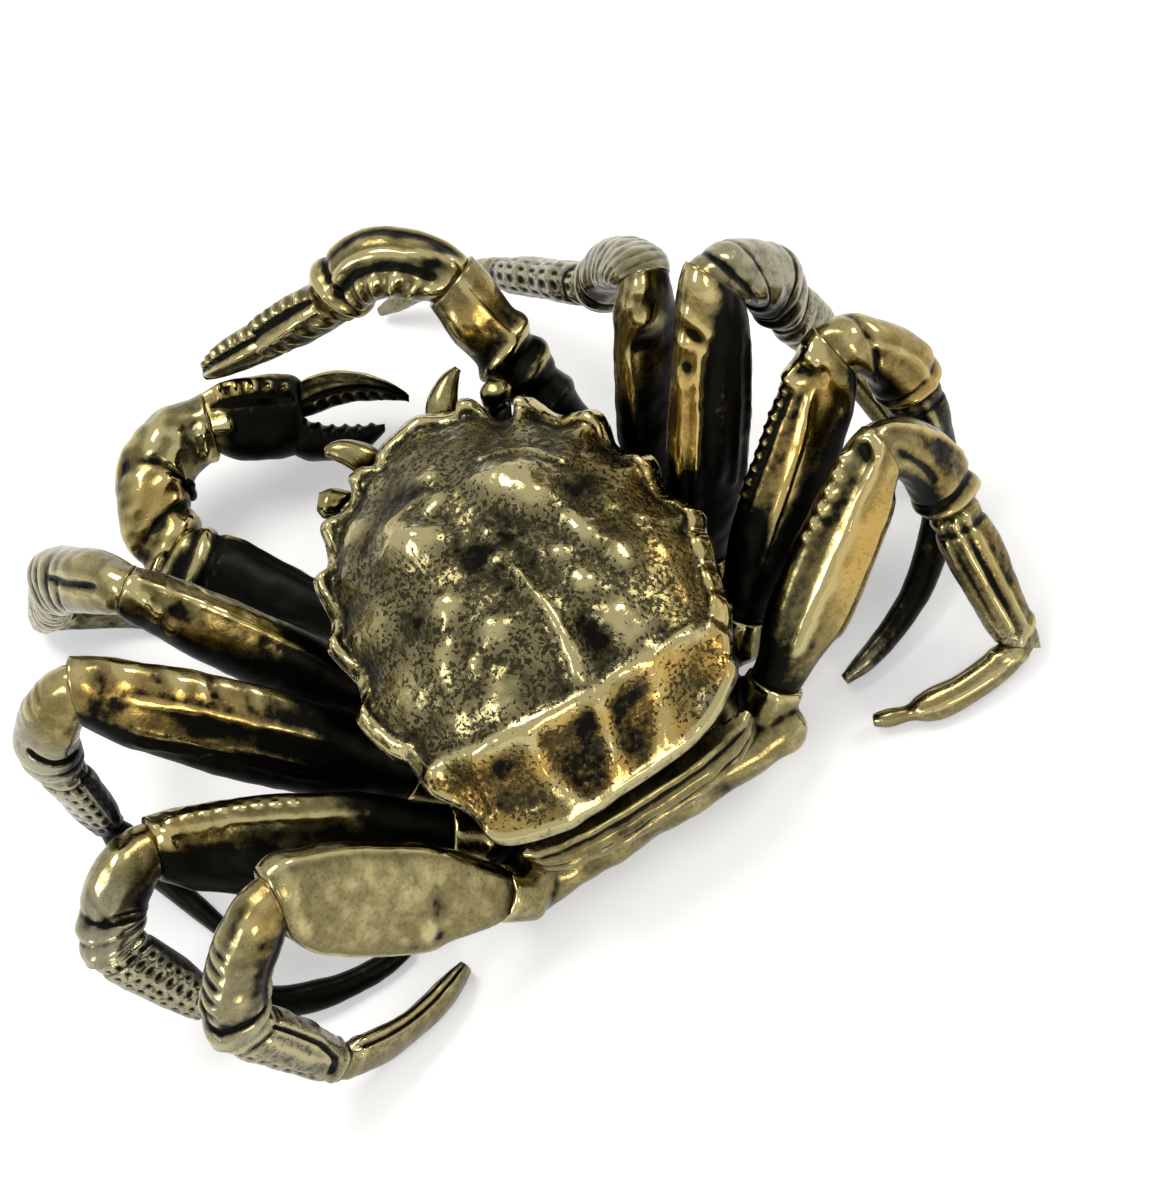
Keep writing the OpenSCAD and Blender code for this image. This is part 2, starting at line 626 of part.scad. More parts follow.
carapace();
body();
tail();
face();
left_eye();
right_eye();
left_feeler();
right_feeler();
leg(LEFT, 0, 0);  // left_leg_1_upper
leg(LEFT, 0, 1);  // left_leg_1_knee
leg(LEFT, 0, 2);  // left_leg_1_shin
leg(LEFT, 0, 3);  // left_leg_1_toe
leg(LEFT, 1, 0);  // left_leg_2_upper
leg(LEFT, 1, 1);  // left_leg_2_knee
leg(LEFT, 1, 2);  // left_leg_2_shin
leg(LEFT, 1, 3);  // left_leg_2_toe
leg(LEFT, 2, 0);  // left_leg_3_upper
leg(LEFT, 2, 1);  // left_leg_3_knee
leg(LEFT, 2, 2);  // left_leg_3_shin
leg(LEFT, 2, 3);  // left_leg_3_toe
leg(LEFT, 3, 0);  // left_leg_4_upper
leg(LEFT, 3, 1);  // left_leg_4_knee
leg(LEFT, 3, 2);  // left_leg_4_shin
leg(LEFT, 3, 3);  // left_leg_4_toe
leg(RIGHT, 0, 0);  // right_leg_1_upper
leg(RIGHT, 0, 1);  // right_leg_1_knee
leg(RIGHT, 0, 2);  // right_leg_1_shin
leg(RIGHT, 0, 3);  // right_leg_1_toe
leg(RIGHT, 1, 0);  // right_leg_2_upper
leg(RIGHT, 1, 1);  // right_leg_2_knee
leg(RIGHT, 1, 2);  // right_leg_2_shin
leg(RIGHT, 1, 3);  // right_leg_2_toe
leg(RIGHT, 2, 0);  // right_leg_3_upper
leg(RIGHT, 2, 1);  // right_leg_3_knee
leg(RIGHT, 2, 2);  // right_leg_3_shin
leg(RIGHT, 2, 3);  // right_leg_3_toe
leg(RIGHT, 3, 0);  // right_leg_4_upper
leg(RIGHT, 3, 1);  // right_leg_4_knee
leg(RIGHT, 3, 2);  // right_leg_4_shin
leg(RIGHT, 3, 3);  // right_leg_4_toe
claw_arm(LEFT);  // left_claw_arm
claw_wrist(LEFT);  // left_claw_wrist
claw_palm(LEFT);  // left_claw_palm
claw_finger(LEFT);  // left_claw_finger
claw_arm(RIGHT);  // right_claw_arm
claw_wrist(RIGHT);  // right_claw_wrist
claw_palm(RIGHT);  // right_claw_palm
claw_finger(RIGHT);  // right_claw_finger
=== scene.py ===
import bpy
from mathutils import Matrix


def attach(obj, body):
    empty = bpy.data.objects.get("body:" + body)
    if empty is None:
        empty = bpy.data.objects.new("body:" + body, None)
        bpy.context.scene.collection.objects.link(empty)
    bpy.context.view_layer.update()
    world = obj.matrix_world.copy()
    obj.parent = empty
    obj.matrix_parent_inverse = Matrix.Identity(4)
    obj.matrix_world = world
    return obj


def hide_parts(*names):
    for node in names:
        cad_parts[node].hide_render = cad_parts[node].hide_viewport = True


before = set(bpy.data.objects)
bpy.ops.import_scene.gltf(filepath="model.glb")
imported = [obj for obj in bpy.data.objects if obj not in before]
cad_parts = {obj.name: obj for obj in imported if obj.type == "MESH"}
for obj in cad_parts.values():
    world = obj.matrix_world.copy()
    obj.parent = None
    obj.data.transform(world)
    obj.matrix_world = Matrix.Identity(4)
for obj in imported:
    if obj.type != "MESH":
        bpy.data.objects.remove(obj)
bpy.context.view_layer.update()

import math

import bpy
import numpy as np
from bpy.props import FloatProperty, FloatVectorProperty, PointerProperty
from mathutils import Matrix, Vector
from mathutils.bvhtree import BVHTree

bl_info = {
    "name": "Brass Crab Figurine",
    "version": (1, 0, 0),
    "blender": (4, 5, 0),
    "location": "3D View > Sidebar > Brass Crab",
    "description": "Dresses a cast brass crab: shell, body, face, legs, claws and stage",
    "category": "Object",
}

# Lengths in the tables below are millimetres. The crab faces -Y, and +X is its left side.
MM = 0.001
LEFT, RIGHT = 1, -1
SIDES = ((LEFT, "left"), (RIGHT, "right"))
SHELL_MIDDLE = np.array((0.0, -0.5))
LEG_PARTS = (("upper", "polished_brass"), ("knee", "polished_brass"), ("shin", "pale_brass"), ("toe", "dark_brass"))
CLAW_PARTS = (("arm", "dark_brass"), ("wrist", "polished_brass"), ("palm", "polished_brass"))

# Joints of the limbs, as in the solid model
SEAT_X, SEAT_Z, SEAT_SHIFT = 9.4, 4.8, 0.9
LEG_SEAT_Y = (-4.2, -0.2, 4.0, 8.2)
SEAT_INSET = (0.6, 0.0, 0.0, 0.6)
UPPER_LENGTH = (15.5, 18.1, 15.1, 13.9)
KNEE_LENGTH = (8.1, 7.0, 5.3, 7.0)
SHIN_LENGTH = (10.2, 7.2, 7.5, 8.4)
TOE_LENGTH = (10.6, 9.2, 10.9, 8.3)
UPPER_WIDTH = {LEFT: (3.9, 5.3, 5.2, 5.6), RIGHT: (3.9, 4.7, 4.5, 4.2)}
TOE_WIDTH = {LEFT: (1.6, 1.6, 1.8, 2.3), RIGHT: (1.5, 1.6, 1.7, 1.7)}
TOE_BOW = (0.7, 0.7, 1.2, 0.8)
TOE_TIP_Z = 0.72
CLAW_SEAT_INSET, CLAW_SEAT_Y = 2.2, -8.01
ARM_LENGTH, PALM_LENGTH, FINGER_LENGTH, FIXED_FINGER_LENGTH = 12.6, 4.9, 5.8, 5.0
WRIST_LENGTH = {LEFT: 7.5, RIGHT: 6.9}
WRIST_WIDTH = {LEFT: 4.2, RIGHT: 3.7}
WRIST_BOW = {LEFT: 2.3, RIGHT: 1.7}

# Headings and rises in degrees: upper, knee, shin, then the toe's heading
LEG_POSE = {
    LEFT: (
        (-45, 46, -58, -37, -62, -63, 143),
        (-35, 38, -10, -60, 91, -83, 107),
        (-24, 20, 39, -3, 133, -70, 165),
        (-8, 48, 27, -39, 158, -70, -168),
    ),
    RIGHT: (
        (-34, 68, -108, -53, -115, -36, -139),
        (-29, 64, -13, -66, -1, -79, 81),
        (-24, 41, 34, -55, 111, -69, 153),
        (-18, 40, 30, -70, 97, -43, -173),
    ),
}
CLAW_POSE = {LEFT: (-57, -3, -134, 11, 157, -17), RIGHT: (-100, 48, -145, -13, -156, -31)}
BLADE_TILT = 50
CLAW_FACE = np.array((0.0, 0.5, 0.86))
PALM_FACE = {LEFT: CLAW_FACE, RIGHT: np.array((-0.1, -0.89, 0.45))}
# Thickness of the arm and the wrist as a share of their width
ARM_FLATNESS, WRIST_FLATNESS = 0.86, 0.84
# The claw fingers: bow, splay of the upper one's tip, and how deep the fixed one's root is sunk into the palm
FINGER_BOW, FINGER_SPLAY, FIXED_SINK = 0.7, 0.3, 0.6
PALM_END_SHARE, FINGER_INSET = 0.92, 0.1

# The block under the shell's front edge, and the eyes and feelers on it
FACE_FRONT_Y, FACE_TOP_Z = -10.91, 10.4
EYE_X, EYE_DROP, EYE_LENGTH, EYE_WIDTH = 4.0, 0.6, 2.7, 1.56
FEELER_DROP, FEELER_LENGTH, FEELER_WIDTH = 0.9, 4.6, 1.7
EYE_WAY = {LEFT: (0.75, -0.55, 0.3), RIGHT: (-0.35, -0.45, 0.8)}
# Place across, heading and bow of each feeler
FEELER_WAY = {
    LEFT: (2.1, (0.5, -0.6, 0.62), (-0.3, -0.4, 0.5)),
    RIGHT: (-1.2, (-0.54, -0.66, 0.52), (0.6, -0.4, 0.3)),
}

# Camera: size of the photograph, and the focal length and the target's place in it, in its pixels
PHOTO_WIDTH, PHOTO_HEIGHT = 1169, 1200
FOCAL_LENGTH = 4531.0
TARGET_PIXEL = (545.0, 640.0)
TARGET_Z = 8
CAMERA_RISE, CAMERA_ROLL = 63, 32.3
SENSOR = 36
# Lamps: name, place and size in metres, power in watts, colour
LAMPS = (
    ("key", (0.03, -0.13, 0.30), 0.16, 0.55, (1.0, 0.98, 0.93)),
    ("side", (-0.26, 0.0, 0.16), 0.10, 0.25, (1.0, 0.97, 0.9)),
    ("fill", (0.26, 0.08, 0.14), 0.10, 0.22, (0.95, 0.97, 1.0)),
    ("rear", (0.0, 0.32, 0.12), 0.10, 0.22, (1.0, 0.88, 0.68)),
)
FLOOR_REACH = 1.5
FLOOR_GLOW = 0.35
SKY_ON_OBJECT, SKY_IN_VIEW = 0.4, 1.0


# ---- Small vector and surface tools ----


def unit(v):
    v = np.asarray(v, float)
    return v / np.linalg.norm(v, axis=-1, keepdims=True)


def heading(side, turn, rise):
    h, r = math.radians(turn), math.radians(rise)
    return np.array((side * math.cos(h) * math.cos(r), math.sin(h) * math.cos(r), math.sin(r)))


def smooth_step(x, low, high):
    t = np.clip((x - low) / (high - low), 0, 1)
    return t * t * (3 - 2 * t)


def between(table, s):
    """Smooth curve through the rows (share, value) of a table."""
    x, y = np.array(table, float).T
    slope = np.gradient(y, x)
    i = np.clip(np.searchsorted(x, s) - 1, 0, len(x) - 2)
    h = x[i + 1] - x[i]
    t = np.clip((s - x[i]) / h, 0, 1)
    return (
        (1 + 2 * t) * (1 - t) ** 2 * y[i]
        + t * (1 - t) ** 2 * h * slope[i]
        + t * t * (3 - 2 * t) * y[i + 1]
        + t * t * (t - 1) * h * slope[i + 1]
    )


def waves(points, size, seed, count=14):
    """Smooth random field, roughly -1 to 1, with lumps about as wide as size."""
    rng = np.random.default_rng(seed)
    ways = unit(rng.normal(size=(count, 3)))
    pitch = 2 * math.pi / (size * rng.uniform(1.4, 3.0, count))
    phase = rng.uniform(0, 2 * math.pi, count)
    return np.cos((points @ ways.T) * pitch + phase).sum(-1) / math.sqrt(count / 2) * 0.6


def grid_normals(p):
    """Outward normals of a closed ring grid, rings first."""
    along = np.gradient(p, axis=0)
    around = np.roll(p, -1, axis=1) - np.roll(p, 1, axis=1)
    n = np.cross(around, along)
    n /= np.maximum(np.linalg.norm(n, axis=-1, keepdims=True), 1e-9)
    middle = p.mean(axis=1, keepdims=True)
    if ((p - middle) * n).sum() < 0:
        n = -n
    return n


def raised(p, n, rounds):
    """How far each point of a ring grid stands above its smoothed surroundings, in mm."""
    q = p.copy()
    for _ in range(rounds):
        q = (q + np.roll(q, 1, 1) + np.roll(q, -1, 1)) / 3
        edge = np.concatenate((q[:1], q, q[-1:]))
        q = (edge[:-2] + edge[1:-1] + edge[2:]) / 3
    return ((p - q) * n).sum(-1)


def search_tree():
    """Search tree over all the solids, for what stands round a point."""
    points, faces = [], []
    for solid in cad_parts.values():
        start = len(points)
        points += [v.co.copy() for v in solid.data.vertices]
        faces += [[start + i for i in face.vertices] for face in solid.data.polygons]
    return BVHTree.FromPolygons(points, faces)


SOLIDS = search_tree()


def closed_in(p, n, reach=7.0, rays=22, lift=0.45):
    """Share of the space over each point of the list p that other metal closes off."""
    # Rays spread evenly over the side that the surface faces, almost down to its plane
    k = np.arange(rays) + 0.5
    z = 1 - k / rays * 0.95
    level = np.sqrt(1 - z * z)
    turn = k * math.pi * (3 - math.sqrt(5))
    ways = np.stack((level * np.cos(turn), level * np.sin(turn), z), -1)
    shut = np.zeros(len(p))
    for i, (point, normal) in enumerate(zip(p, n)):
        a = unit(np.cross(normal, (0.3, 0.9, 0.1) if abs(normal[0]) > 0.5 else (0.9, 0.1, 0.3)))
        b = np.cross(normal, a)
        start = Vector((point + normal * lift) * MM)
        for w in ways:
            hit = SOLIDS.ray_cast(start, Vector(a * w[0] + b * w[1] + normal * w[2]), reach * MM)
            if hit[0] is not None:
                # Metal close by counts for more than metal at the end of the reach
                shut[i] += 1 - 0.6 * hit[3] / (reach * MM)
    return shut / rays


def closed_grid(p, n, rows=15, columns=14):
    """The same over a ring grid, worked out on a coarse grid and spread smoothly."""
    i = np.unique(np.linspace(0, len(p) - 1, rows).astype(int))
    j = np.linspace(0, p.shape[1], columns, endpoint=False).astype(int)
    coarse = np.ix_(i, j)
    shut = closed_in(p[coarse].reshape(-1, 3), n[coarse].reshape(-1, 3)).reshape(len(i), len(j))
    shut = np.column_stack((shut, shut[:, 0]))
    down = np.array([np.interp(np.arange(len(p)), i, shut[:, k]) for k in range(columns + 1)])
    return np.array([np.interp(np.arange(p.shape[1]), np.append(j, p.shape[1]), row) for row in down.T])


def stored_finish(mesh, wear, patina_and_shade, tone):
    """Store the finish on the mesh's points, where the brass materials read it."""
    for label, values in (("wear", wear), ("patina_and_shade", patina_and_shade), ("tone", tone)):
        mesh.attributes.new(label, "FLOAT", "POINT").data.foreach_set("value", values.astype(np.float32))
    mesh.polygons.foreach_set("use_smooth", np.ones(len(mesh.polygons), bool))


def capped(values):
    """The values of a ring grid in one row, with the means of its first and last ring for the caps."""
    values = values.astype(np.float32)
    return np.concatenate((values.reshape(-1), [values[0].mean(), values[-1].mean()]))


def add_piece(name, rings, node, finish, wear, patina_and_shade, tone):
    """Closed skin through rings of points in mm, capped at both ends, with its finish stored on its points."""
    n, m = rings.shape[:2]
    points = np.concatenate((rings.reshape(-1, 3), [rings[0].mean(0), rings[-1].mean(0)])) * MM
    i, j = np.meshgrid(np.arange(n - 1), np.arange(m), indexing="ij")
    k = (j + 1) % m
    quads = np.stack((i * m + j, i * m + k, (i + 1) * m + k, (i + 1) * m + j), -1).reshape(-1, 4)
    pairs = [(j, (j + 1) % m) for j in range(m)]
    caps = [(n * m, b, a) for a, b in pairs] + [(n * m + 1, (n - 1) * m + a, (n - 1) * m + b) for a, b in pairs]
    mesh = bpy.data.meshes.new(name)
    mesh.from_pydata(points.tolist(), [], quads.tolist() + caps)
    mesh.update()
    if sum(face.center.dot(face.normal) * face.area for face in mesh.polygons) < 0:
        mesh.flip_normals()
    stored_finish(mesh, capped(wear), capped(patina_and_shade), capped(tone))
    return place_piece(name, mesh, node, finish)


def place_piece(name, mesh, node, finish):
    piece = bpy.data.objects.new(name, mesh)
    bpy.context.scene.collection.objects.link(piece)
    mesh.materials.append(bpy.data.materials["cast_" + finish])
    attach(piece, "root")
    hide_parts(node)
    return piece


# ---- Limbs ----


def angle_from(phi, at):
    return (phi - at + 180) % 360 - 180


def window(s, low, high):
    soft = 0.05
    return smooth_step(s, low - soft, low + soft) * (1 - smooth_step(s, high - soft, high + soft))


def collar(s, phi, at, spread, height, slant=0.0):
    return height * np.exp(-(((s + slant * phi / 180 - at) / spread) ** 2))


def knob(s, phi, at, phi_at, spread_s, spread_phi, height):
    return height * np.exp(-(((s - at) / spread_s) ** 2) - (angle_from(phi, phi_at) / spread_phi) ** 2)


def rows(s, phi, low, high, phi_at, spread, count, slant, height, cells=0):
    """Rows of small marks across a limb, or of separate dimples where cells is given."""
    wave = 0.5 + 0.5 * np.cos(2 * math.pi * (count * s + slant * phi / 90))
    if cells:
        wave = wave * (0.5 + 0.5 * np.cos(2 * math.pi * cells * phi / 360))
    return height * wave**1.5 * window(s, low, high) * np.exp(-((angle_from(phi, phi_at) / spread) ** 4))


def line(s, phi, points, wide, height):
    """Crease or raised line through points of share and angle."""
    flat = [(a * 3, b / 60) for a, b in points]
    r = distance_to_line(s * 3 + 0 * phi, phi / 60 + 0 * s, flat)
    return height * np.exp(-((r / wide) ** 2))


SHAPES = {"knob": knob, "collar": collar, "rows": rows, "line": line}


def limb_points(ends, face, s, width, thick, around, power):
    """Ring grid of a limb piece, whose end rings lie on its neighbours' planes, and the rings' angles."""
    a, b, na, nb, bow = ends
    centre = a + (b - a) * s[:, None] + bow * (4 * s * (1 - s))[:, None]
    along = unit((b - a) + bow * (4 * (1 - 2 * s))[:, None])
    plane = unit(na + (nb - na) * s[:, None])
    up = unit(face - along * (along @ face)[:, None])
    side = np.cross(up, along)
    t = np.linspace(0, 2 * math.pi, around, endpoint=False)
    c, d = np.cos(t), np.sin(t)
    cx = np.sign(c) * np.abs(c) ** power
    cy = np.sign(d) * np.abs(d) ** power
    offset = side[:, None] * (width[:, None] / 2 * cx)[..., None] + up[:, None] * (thick[:, None] / 2 * cy)[..., None]
    slide = (offset * plane[:, None]).sum(-1) / (along * plane).sum(-1)[:, None]
    return np.degrees(t), centre[:, None] + offset - along[:, None] * slide[..., None]


# Painted shade on the limbs under the shell: reach round its middle with full shade and with any, and height where it
# stops
DARK_REACH, OUTER_REACH, DARK_TOP = 10.0, 14.0, 12


def shade_under_shell(p):
    """Painted shade under the shell: 1 close under it, falling to 0 a few millimetres outside it."""
    out = np.hypot(p[..., 0], (p[..., 1] - SHELL_MIDDLE[1]) * 0.92)
    return smooth_step(-out, -OUTER_REACH, -DARK_REACH) * (p[..., 2] < DARK_TOP)


# Limbs: rounds of smoothing that set off small forms and large ones
FINE, BROAD = 3, 24
# Share of bright wear for each mm that a form stands up and on edges, and of painted light on what faces up
FINE_WEAR, BROAD_WEAR, EDGE_WEAR, TOP_SHEEN = 7, 2.0, 0.1, 0.12
# Share of patina for each mm that is carved in, of painted shade underneath, and of patina and painted shade where
# other metal stands close
CARVED_DARK, UNDER_SHADE, CLOSED_DARK = 1.3, 0.5, 1.1
# Share of the space that may be closed off before it darkens, degrees over which the painted shade of the lower side
# sets in, and
# the strength of the tone that the looks ask for
OPEN_SHARE, LOW_FADE, TONE_SHARE = 0.3, 35, 0.8
# Lumps of the casting: size of the large and the small ones in mm, and height of the small against the large
LUMP_SIZE, SMALL_LUMP_SIZE, SMALL_LUMP_SHARE = 1.7, 0.6, 0.35


def limb_piece(name, finish, ends, face, width, thick, look, side, seed, stations=84, around=64):
    """One piece of a limb with its cast forms and its finish."""
    s = np.linspace(0, 1, stations)
    w = between(look["width"], s) * width
    t = between(look.get("thick", look["width"]), s) * thick
    theta, p = limb_points(ends, face, s, w, t, around, look.get("square", 0.9))
    # 0 is the broad face, +90 its front and upper edge, -90 its rear and lower edge
    phi = ((theta - 90 if side == LEFT else 90 - theta)[None, :] + 180) % 360 - 180
    s = s[:, None]
    n = grid_normals(p)
    fine, broad = raised(p, n, FINE), raised(p, n, BROAD)
    bump, carved = np.zeros(p.shape[:2]), np.zeros(p.shape[:2])
    for kind, *values in look.get("forms", ()):
        form = SHAPES[kind](s, phi, *values)
        bump = bump + form
        carved = carved + np.clip(-form, 0, None)
    # The forms fade at both ends, where the neighbours meet the piece
    ends_fade = smooth_step(s, 0, 0.025) * (1 - look.get("close", 0.6) * smooth_step(s, 0.97, 1.0))
    lump = look.get("lump", 0.06)
    bump = bump + lump * waves(p, LUMP_SIZE, seed) + lump * SMALL_LUMP_SHARE * waves(p, SMALL_LUMP_SIZE, seed + 1)
    p = p + n * (bump * ends_fade)[..., None]
    p[..., 2] = np.maximum(p[..., 2], 0.0)
    n = grid_normals(p)
    none = np.zeros(p.shape[:2])
    spots = {"wear": none, "dark": none, "tone": none}
    for kind, *values in look.get("spots", ()):
        spots[kind] = spots[kind] + knob(s, phi, *values)
    wear = 0.5 + (raised(p, n, FINE) - fine) * FINE_WEAR + (raised(p, n, BROAD) - broad) * BROAD_WEAR
    # Wear on edges and spots, and painted light on what faces up
    wear = wear + EDGE_WEAR * (broad / broad.mean() - 1) + TOP_SHEEN * n[..., 2] + spots["wear"]
    patina_and_shade = between(look.get("dark", ((0, 0.1), (1, 0.1))), s[:, 0])[:, None] + CARVED_DARK * carved
    # Painted shade on the lower and rear side
    low_from = look.get("low_from", -5)
    patina_and_shade = patina_and_shade + look.get("dark_low", 0) * smooth_step(-phi, low_from, low_from + LOW_FADE)
    patina_and_shade = patina_and_shade + spots["dark"]
    # Painted shade on what faces down, patina and painted shade where other metal closes in, and painted shade under
    # the shell
    patina_and_shade = patina_and_shade + UNDER_SHADE * smooth_step(-n[..., 2], 0.1, 0.8)
    patina_and_shade = patina_and_shade + CLOSED_DARK * np.clip(closed_grid(p, n) - OPEN_SHARE, 0, 1)
    patina_and_shade = np.clip(patina_and_shade + look.get("near", 0.8) * shade_under_shell(p), 0, 1)
    tone = (between(look.get("tone", ((0, 0), (1, 0))), s[:, 0])[:, None] + spots["tone"]) * TONE_SHARE
    node_name = name.replace("_skin", "")
    return add_piece(name, p, node_name, finish, np.clip(wear, 0, 1), patina_and_shade, np.clip(tone, -1, 1))


def outward(before, along, after, size):
    v = unit(before) - unit(after)
    return unit(v - unit(along) * (v @ unit(along))) * size


def level_outward(before, along, size):
    v = unit(before) - unit(along)
    v = np.array((v[0], v[1], 0.0))
    return unit(v - unit(along) * (v @ unit(along))) * size


def carried(v, a, b):
    return v - (a + b) * ((v @ b) / (1 + a @ b))


def leg_joints(side, i):
    pose = LEG_POSE[side][i]
    a = np.array((side * (SEAT_X - SEAT_INSET[i]), LEG_SEAT_Y[i] + side * SEAT_SHIFT, SEAT_Z))
    b = a + UPPER_LENGTH[i] * heading(side, pose[0], pose[1])
    c = b + KNEE_LENGTH[i] * heading(side, pose[2], pose[3])
    d = c + SHIN_LENGTH[i] * heading(side, pose[4], pose[5])
    reach = math.sqrt(max(1, TOE_LENGTH[i] ** 2 - (d[2] - TOE_TIP_Z) ** 2))
    turn = math.radians(pose[6])
    tip = np.array((d[0] + side * reach * math.cos(turn), d[1] + reach * math.sin(turn), TOE_TIP_Z))
    return [a, b, c, d, tip]


def chain(joints, bows):
    """Ends, end planes and bow of each piece between the joints of a limb."""
    steps = [b - a for a, b in zip(joints, joints[1:])]
    starts = [unit(d + 4 * bow) for d, bow in zip(steps, bows)]
    stops = [unit(d - 4 * bow) for d, bow in zip(steps, bows)]
    planes = [starts[0]] + [unit(a + b) for a, b in zip(stops, starts[1:])] + [stops[-1]]
    return list(zip(joints, joints[1:], planes, planes[1:], bows))


def leg_ends(side, i, sizes):
    """Ends, end planes, bow and face of each of the four pieces of a leg."""
    joints = leg_joints(side, i)
    d = [b - a for a, b in zip(joints, joints[1:])]
    knee, toe = outward(d[0], d[1], d[2], sizes.knee_bow / MM), level_outward(d[2], d[3], TOE_BOW[i])
    ways = [unit(v) for v in d]
    tilt = math.radians(BLADE_TILT)
    rear = unit(np.array((-ways[0][1] * np.sign(ways[0][0]), abs(ways[0][0]), 0)))
    flat = rear * math.cos(tilt) + np.array((0, 0, math.sin(tilt)))
    faces = [unit(flat - ways[0] * (flat @ ways[0]))]
    for before, after in zip(ways, ways[1:]):
        faces.append(carried(faces[-1], before, after))
    return list(zip(chain(joints, [np.zeros(3), knee, np.zeros(3), toe]), faces))


def claw_ends(side):
    """Ends, end planes and bow of the arm, the wrist and the palm of a claw."""
    pose = CLAW_POSE[side]
    a = np.array((side * (SEAT_X - CLAW_SEAT_INSET), CLAW_SEAT_Y + side * SEAT_SHIFT, SEAT_Z))
    b = a + ARM_LENGTH * heading(side, pose[0], pose[1])
    c = b + WRIST_LENGTH[side] * heading(side, pose[2], pose[3])
    d = c + PALM_LENGTH * heading(side, pose[4], pose[5])
    return chain([a, b, c, d], [np.zeros(3), outward(b - a, c - b, d - c, WRIST_BOW[side]), np.zeros(3)])


# Looks of the limb pieces. Their tables run from 0 at the body's end to 1: share of the width and of the
# thickness, patina and tone. A form is a knob (place, angle, spread along and round, height), a collar (place,
# spread, height, slant), rows of marks or a line through points of place and angle (width, height), in mm.
# A spot changes wear, patina (dark) or tone there, some of them painting highlights: place, angle, spread along and
# round, amount.
UPPER = dict(
    width=((0, 0.62), (0.1, 0.74), (0.3, 0.96), (0.55, 1), (0.78, 0.9), (0.92, 0.78), (1, 0.64)),
    thick=((0, 0.95), (0.1, 1), (0.3, 1.02), (0.55, 1), (0.78, 1), (0.92, 1.12), (1, 1.02)),
    dark=((0, 1), (0.15, 0.85), (0.35, 0.35), (0.6, 0.08), (1, 0.02)), square=0.86,
)
KNEE = dict(
    width=((0, 0.84), (0.16, 1), (0.5, 1.05), (0.84, 1.1), (1, 0.98)),
    thick=((0, 0.84), (0.16, 0.98), (0.5, 1.06), (0.84, 1.08), (1, 0.96)),
    forms=(("collar", 0.93, 0.04, 0.08), ("collar", 0.84, 0.03, -0.1)), lump=0.07,
)
SHIN = dict(
    width=((0, 0.84), (0.12, 1), (0.5, 1.02), (0.86, 0.84), (1, 0.7)),
    thick=((0, 0.86), (0.12, 1), (0.5, 1), (0.86, 0.9), (1, 0.78)),
    forms=(("collar", 0.07, 0.03, 0.1), ("collar", 0.14, 0.02, -0.1)), square=0.82,
)
TOE = dict(
    width=((0, 0.94), (0.14, 1.06), (0.42, 0.96), (0.72, 0.78), (0.92, 0.58), (1, 0.36)),
    thick=((0, 0.92), (0.14, 1.04), (0.42, 0.94), (0.72, 0.78), (0.92, 0.58), (1, 0.38)),
    forms=(("collar", 0.08, 0.03, 0.08),), dark=((0, 0.3), (1, 0.35)), lump=0.04,
)
ARM = dict(
    width=((0, 0.72), (0.1, 0.82), (0.24, 0.76), (0.55, 0.92), (0.86, 1.04), (1, 0.94)),
    thick=((0, 0.74), (0.1, 0.84), (0.24, 0.8), (0.55, 0.94), (0.86, 1.04), (1, 0.94)),
    dark=((0, 1), (0.6, 0.9), (1, 0.6)), square=0.8,
)
WRIST = dict(
    width=((0, 0.76), (0.1, 0.88), (0.32, 1), (0.62, 1.02), (0.88, 0.92), (1, 0.8)),
    thick=((0, 0.78), (0.1, 0.9), (0.32, 1.02), (0.62, 1.02), (0.88, 0.92), (1, 0.8)), lump=0.14,
)
PALM = dict(
    width=((0, 0.72), (0.16, 0.9), (0.5, 1), (0.85, 0.97), (1, 0.92)),
    thick=((0, 0.9), (0.16, 1), (0.5, 1.02), (0.85, 0.95), (1, 0.88)), lump=0.08,
)
FINGER = dict(
    width=((0, 0.9), (0.14, 1), (0.42, 0.9), (0.7, 0.68), (0.9, 0.42), (1, 0.2)),
    thick=((0, 0.9), (0.14, 1), (0.42, 0.9), (0.7, 0.7), (0.9, 0.46), (1, 0.24)), dark=((0, 0.7), (1, 0.6)),
)
PLAIN = {
    "upper": UPPER, "knee": KNEE, "shin": SHIN, "toe": TOE, "arm": ARM, "wrist": WRIST, "palm": PALM,
    "finger": FINGER, "fixed": FINGER,
}
